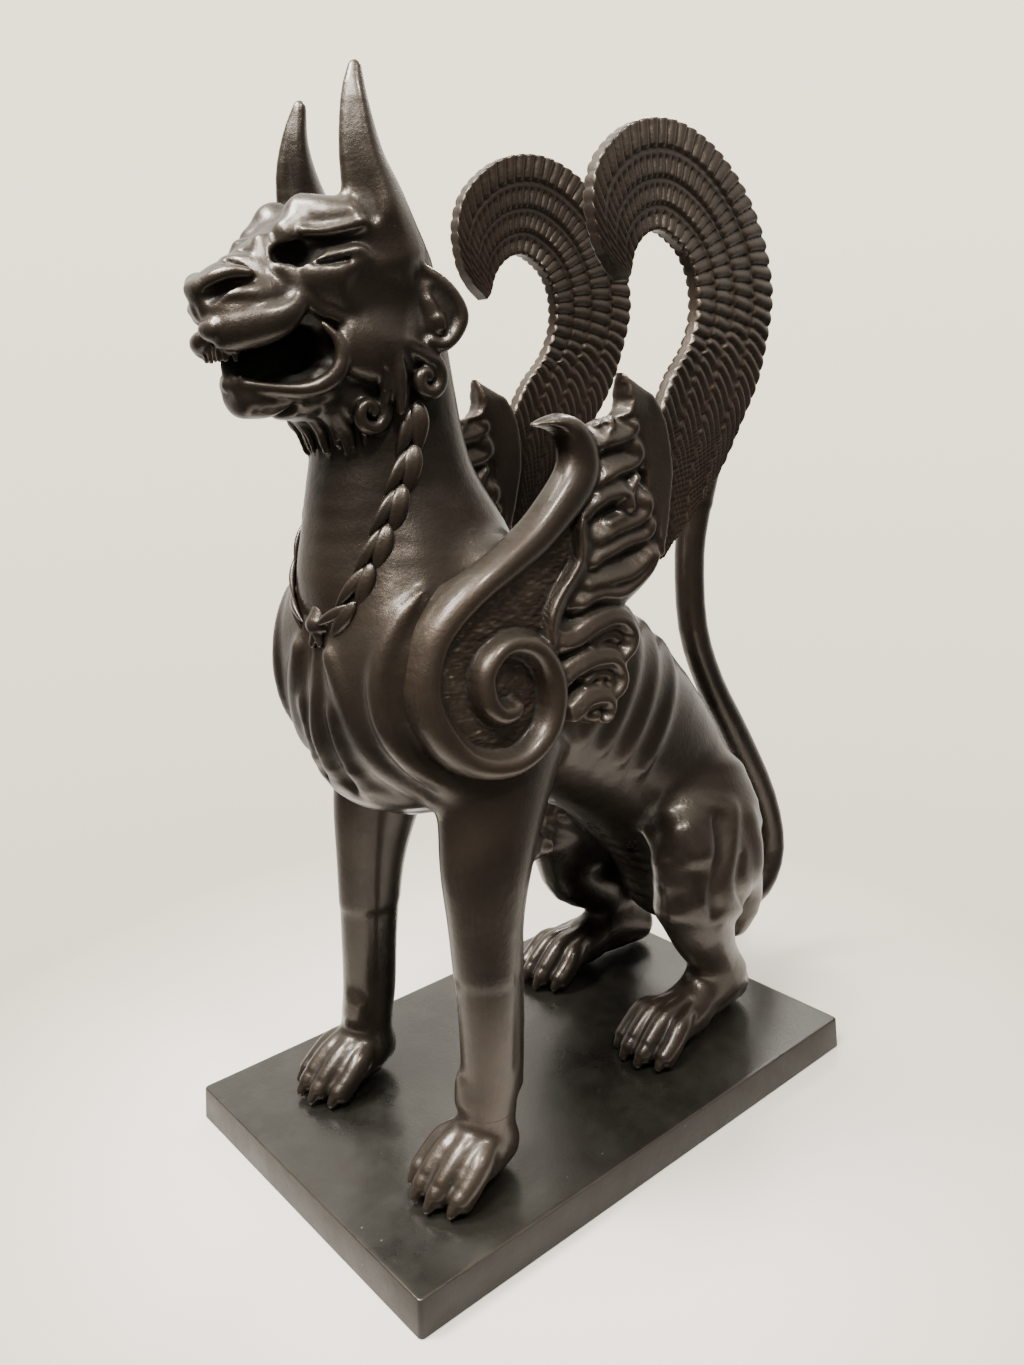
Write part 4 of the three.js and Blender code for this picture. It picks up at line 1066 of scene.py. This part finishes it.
# A plate in its own space, its outer face at the relief's height and its inner face plainer, then set
# leaning on the shoulder and bent round its front. The horn at its top thins to a point
def carvedPanel(name, flip):
    low, high = panel["space"]
    step = panel["step"] * clay["coarser"]
    space = ClaySpace(low, high, step)
    w, y, z = space.axes[0][:, None, None], space.axes[1][:, None], space.axes[2][None, :]
    y, z = y + 0 * z, z + 0 * y
    height, outline, ground = panelRelief(y, z)
    deep = smoothStep(*panel["deepBelow"], z)
    thin = smoothStep(*panel["thinAbove"], z) * (y > 10)
    height = height - thin * 6
    innerFace = -blade["thickness"] - np.clip(height, -2, 6) * (1 - deep) * 0.8 - 20 * deep + thin * 5
    field = np.maximum(w - height[None], innerFace[None] - w)
    rounded = panel["rounded"]
    a, b = field + rounded, outline[None] + rounded
    field = np.minimum(np.maximum(a, b), 0) + np.hypot(np.maximum(a, 0), np.maximum(b, 0)) - rounded
    space.field = field.astype(np.float32)
    space.soften()
    points, faces, proud, buried = space.skin()
    at = [np.clip(((points[:, k + 1] - low[k + 1]) / step).astype(int), 0, ground.shape[k] - 1)
          for k in (0, 1)]
    outer = points[:, 0] > panel["outerFace"]
    points[:, 0] += wingX(points[:, 2]) - shoulderTurn(points[:, 1])
    if flip < 0:
        points[:, 0] *= -1
        faces = [f[::-1] for f in faces]
    # The carving's recesses get painted shade, less of it than the cast
    return finishPiece(name, points, faces, wingBronze, wear=proud, buried=np.clip(buried - 0.3, 0, 1),
                       ground=ground[at[0], at[1]] * outer)


carvedPanel("nearPanel", 1)
carvedPanel("farPanel", -1)
print("carved panels made")

# Garland: leaves hung one below another from behind each jaw to a knot on the breast. The neck's section is
# given by height, centre, half width and half depth, and the garland by height and angle round the neck.
# Each leaf in a pair has a way off the line and a half width
neck = {
    "z": [411, 445, 475, 513, 548, 590], "centre": [-101, -105, -111, -117, -119, -121],
    "wide": [75, 67, 59, 52, 48, 46], "deep": [92, 86, 80, 66, 55, 49], "square": 2.35,
}
garland = {
    "z": [579, 553, 534, 515, 498, 480, 462, 445, 431, 423],
    "angle": [8, 12, 19, 27, 34, 41, 49, 57, 69, 80],
    "pairs": 6, "length": 37, "leaves": [(4.4, 8.2), (-6.0, 5.8)], "neckMiddle": -116, "shrink": 0.045,
    "steps": 22,
}


# A place on the neck: the way out to its squared oval at that angle, and a lift beyond it
def onNeck(z, angle, lift):
    turn = np.radians(angle)
    centre, wide, deep = (np.interp(z, neck["z"], neck[k]) for k in ("centre", "wide", "deep"))
    power = neck["square"]
    reach = (np.abs(np.cos(turn)) ** power + np.abs(np.sin(turn)) ** power) ** (-1 / power)
    x, y = (wide * reach + lift) * np.cos(turn), centre - (deep * reach + lift) * np.sin(turn)
    return np.stack([x, y, z], -1)


# A closed leaf: across, a lens with a groove down its midrib; along, its width swells and tapers
def leafSurface(start, end, half, out, belly):
    t = np.linspace(0, 1, garland["steps"])[:, None]
    a = np.linspace(0, 2 * np.pi, garland["steps"], endpoint=False)[None, :]
    along = unit(end - start)
    side = unit(np.cross(along, out))
    out = np.cross(side, along)
    wide = half * np.sin(np.pi * t ** 0.8) ** 0.7 * (1 - 0.15 * t)
    deep = 0.55 * wide + 0.2
    rib = 1 - 0.22 * np.exp(-(np.cos(a) / 0.16) ** 2) * (np.sin(a) > 0)
    centre = start + (end - start) * t[..., None] + out * (belly * np.sin(np.pi * t))[..., None]
    twist = 0.5 * (t - 0.5)
    u, v = np.cos(a) * wide, np.sin(a) * deep * rib
    u, v = u * np.cos(twist) - v * np.sin(twist), u * np.sin(twist) + v * np.cos(twist)
    return centre + side * u[..., None] + out * v[..., None]


# Pairs of leaves along the hanging line, a broad one and a narrow one, each lying over the next pair
def makeGarland():
    points, faces, wear, count = [], [], [], 0
    t = np.linspace(0, 1, 60)
    stations = np.linspace(0, 1, len(garland["z"]))
    hang = onNeck(np.interp(t, stations, garland["z"]), np.interp(t, stations, garland["angle"]), 0.5)
    run = runAlong(hang)
    pitch = (run[-1] - 12) / garland["pairs"]
    for k in range(garland["pairs"]):
        for offset, half in garland["leaves"]:
            s = k * pitch + (5 if offset < 0 else 0)
            e = min(s + garland["length"], run[-1])
            a, b = (np.array([np.interp(d, run, hang[:, c]) for c in range(3)]) for d in (s, e))
            out = unit(np.array([a[0], a[1] - garland["neckMiddle"], 0]))
            side = unit(np.cross(out, b - a))
            grid = leafSurface(a + side * offset * 0.25 + out * 2.6, b + side * offset * 1.35 - out * 0.3,
                               half * (1 - garland["shrink"] * k), out, 2.2)
            for flip in (1, -1):
                sheet = grid * (flip, 1, 1)
                quads, caps = tubeFaces(*sheet.shape[:2]), endCaps(*sheet.shape[:2])
                ring = sheet.reshape(-1, 3)
                middle = ring.mean(0)
                fan = np.cross(ring[quads[:, 0]] - middle, ring[quads[:, 1]] - middle)
                if (fan * (ring[quads[:, 2]] - middle)).sum() < 0:
                    quads = quads[:, ::-1]
                    caps = [c[::-1] for c in caps]
                faces += (quads + count).tolist() + [[v + count for v in c] for c in caps]
                points.append(ring)
                lift = ((sheet - sheet.mean(1, keepdims=True)) * out * (flip, 1, 1)).sum(-1)
                wear.append(np.clip(lift.ravel() / 4, -1, 1))
                count += len(ring)
    return finishPiece("garland", np.vstack(points), faces, bronze, wear=np.concatenate(wear))


makeGarland()
makeClay("breastKnot", (-16, -206, 404), (20, -166, 448), 1.0, [
    swell(2, [3, -186, 438, 8, 6], [3, -190, 430, 9, 7]),
    swell(2, [-6, -187, 428, 5], [3, -192, 428, 6], [12, -187, 428, 5]),
    swell(1.5, [3, -191, 424, 4], [0, -193, 414, 3]),
    swell(1.5, [6, -191, 424, 4], [9, -192, 415, 2.5])])
print("garland hung")

# Plinth: its edge leans out to the foot by the draft, is eased at the top and barely rounded at the foot
plinth = {
    "ease": 1.4, "corner": 4.0, "leastCorner": 0.8, "draft": 2.0, "easeSteps": 6, "cornerSteps": 7,
    "foot": [(14.0, 1.2), (9.0, 0.4), (1.2, 0.0), (0.35, 0.35), (0.0, 1.2)],  # inset and rise
    "footWear": [0.0, 0.0, 0.4, 0.6, 0.4], "edgeWear": [0.5, 0.7, 0.8, 0.8, 0.7, 0.5],
    "topInsets": [6.4, 40.0, 90.0],
}


# A slab: the profile of its edge, inset and height, carried round a rectangle with rounded corners
def makePlinth():
    low, high = np.array(plinthLow) / part, np.array(plinthHigh) / part
    ease, draft = plinth["ease"], plinth["draft"]
    profile = [(inset, low[2] + rise) for inset, rise in plinth["foot"]]
    profile += [(draft + ease * (1 - math.cos(a)), high[2] - ease * (1 - math.sin(a)))
                for a in np.radians(np.linspace(0, 90, plinth["easeSteps"]))]
    profile += [(inset, high[2]) for inset in plinth["topInsets"]]
    corner = np.radians(np.linspace(0, 90, plinth["cornerSteps"]))
    rings = []
    for inset, z in profile:
        radius = max(plinth["corner"] - inset * 0.3, plinth["leastCorner"])
        for cx, cy, start in ((1, 1, 0), (-1, 1, 90), (-1, -1, 180), (1, -1, 270)):
            x = cx * (high[0] - inset - radius)
            y = cy * (high[1] - inset - radius)
            a = corner + math.radians(start)
            rings.append(np.stack([x + radius * np.cos(a), y + radius * np.sin(a), np.full(len(a), z)], 1))
    rows, columns = len(profile), 4 * len(corner)
    faces = tubeFaces(rows, columns).tolist() + endCaps(rows, columns)
    points = np.vstack(rings) - (0, 0, figureLow.z / part)
    proud = np.repeat(plinth["footWear"] + plinth["edgeWear"] + [0.0] * len(plinth["topInsets"]), columns)
    return finishPiece("plinthSlab", points, faces, plinthBronze, "dark_bronze", "plinth", wear=proud)


makePlinth()

# Studio: pale floor, soft lights and the photograph's viewpoint. Each light has a place, an aim, its size,
# power and colour. The floor fades out between two distances, and the room glows behind and above
studio = {
    "floor": (0.80, 0.765, 0.71, 1), "floorRough": 0.7, "floorRadii": (0.5, 2.5, 9.0), "floorSides": 96,
    "floorFade": (0.27, 0.6), "wall": (1.0, 0.875, 0.68, 1), "wallStrength": 2.6, "wallRange": (-0.75, 0.2),
    "room": (1.0, 0.93, 0.82, 1), "roomStrength": 0.1, "backStrength": 1.3, "backRange": (0.1, 0.9),
    "away": (-0.755, 0.656, 0.0), "skyStrength": 0.8, "skyRange": (0.15, 0.9),
    "lights": [
        ("keyLight", (-0.75, -1.2, 2.9), (0, -0.05, 0.4), 0.9, 175, (1.0, 0.955, 0.88)),
        ("frontLight", (0.4, -1.45, 2.6), (0.05, -0.15, 0.5), 1.1, 115, (1.0, 0.955, 0.88)),
        ("rightLight", (1.5, -0.3, 2.9), (0, 0, 0.4), 0.4, 62, (1.0, 0.955, 0.88)),
        ("backLight", (-1.2, 1.8, 2.2), (0, 0.1, 0.4), 0.6, 35, (1.0, 0.96, 0.90)),
    ],
    "eye": (0.6579, -0.5709, 0.6104), "tilt": 75.1009, "roll": 1.8467, "heading": 49.0342,
    "focal": 1083.76 * 36 / 1365, "sensor": 36,
}


def addToScene(name, data):
    made = bpy.data.objects.new(name, data)
    bpy.context.scene.collection.objects.link(made)
    return made


# A disk of rings whose colour fades to clear with the distance from the middle
def makeFloor():
    sides = studio["floorSides"]
    a = np.linspace(0, 2 * np.pi, sides, endpoint=False)
    points = np.vstack([np.stack([np.cos(a) * r, np.sin(a) * r, 0 * a], 1) for r in studio["floorRadii"]])
    faces = [list(range(sides))] + tubeFaces(len(studio["floorRadii"]), sides)[:, ::-1].tolist()
    mesh = bpy.data.meshes.new("floor")
    mesh.from_pydata(points, [], faces)
    made, shader, place = newMaterial("paleFloor")
    shader.inputs["Base Color"].default_value = studio["floor"]
    shader.inputs["Roughness"].default_value = studio["floorRough"]
    spot = place.node("ShaderNodeVectorMath", {"operation": "LENGTH"}, {0: place}, 1)
    clear = place.node("ShaderNodeBsdfTransparent")
    solid = Signal(place.tree, shader.outputs[0])
    fade = spot.clamped(*studio["floorFade"])
    mixed = place.node("ShaderNodeMixShader", values={0: fade, 1: solid, 2: clear})
    output = next(n for n in place.tree.nodes if n.type == "OUTPUT_MATERIAL")
    mixed.feed(output.inputs["Surface"])
    mesh.materials.append(made)
    addToScene("floor", mesh)


# The wall that the camera sees glows by elevation, and the room that lights the bronze by direction
def makeRoom():
    world = bpy.data.worlds.new("studio")
    world.use_nodes = True
    seen = Signal(world.node_tree).node("ShaderNodeLightPath")
    view = seen.node("ShaderNodeTexCoord", out=3)
    height = view.heightOf()
    glow = (height.clamped(*studio["wallRange"]) * 0.4 + 0.62) * studio["wallStrength"]
    wall = seen.node("ShaderNodeBackground", values={0: studio["wall"], 1: glow})
    behind = seen.node("ShaderNodeVectorMath", {"operation": "DOT_PRODUCT"},
                       {0: view, 1: studio["away"]}, 1)
    light = behind.clamped(*studio["backRange"]) * studio["backStrength"]
    light = light + height.clamped(*studio["skyRange"]) * studio["skyStrength"] + studio["roomStrength"]
    room = seen.node("ShaderNodeBackground", values={0: studio["room"], 1: light})
    mixed = seen.node("ShaderNodeMixShader", values={0: seen, 1: room, 2: wall})
    mixed.feed(world.node_tree.nodes["World Output"].inputs["Surface"])
    bpy.context.scene.world = world


def makeLights():
    for name, place, aim, size, power, colour in studio["lights"]:
        lamp = bpy.data.lights.new(name, "AREA")
        lamp.shape = "DISK"
        lamp.size, lamp.energy, lamp.color = size, power, colour
        made = addToScene(name, lamp)
        made.location = place
        made.rotation_euler = (Vector(aim) - Vector(place)).to_track_quat("-Z", "Y").to_euler()


def makeCamera():
    lens = bpy.data.cameras.new("camera")
    lens.lens = studio["focal"]
    lens.sensor_width = studio["sensor"]
    camera = addToScene("camera", lens)
    camera.location = studio["eye"]
    camera.rotation_euler = Euler([math.radians(studio[k]) for k in ("tilt", "roll", "heading")])
    bpy.context.scene.camera = camera


makeFloor()
makeRoom()
makeLights()
makeCamera()
bpy.context.view_layer.update()
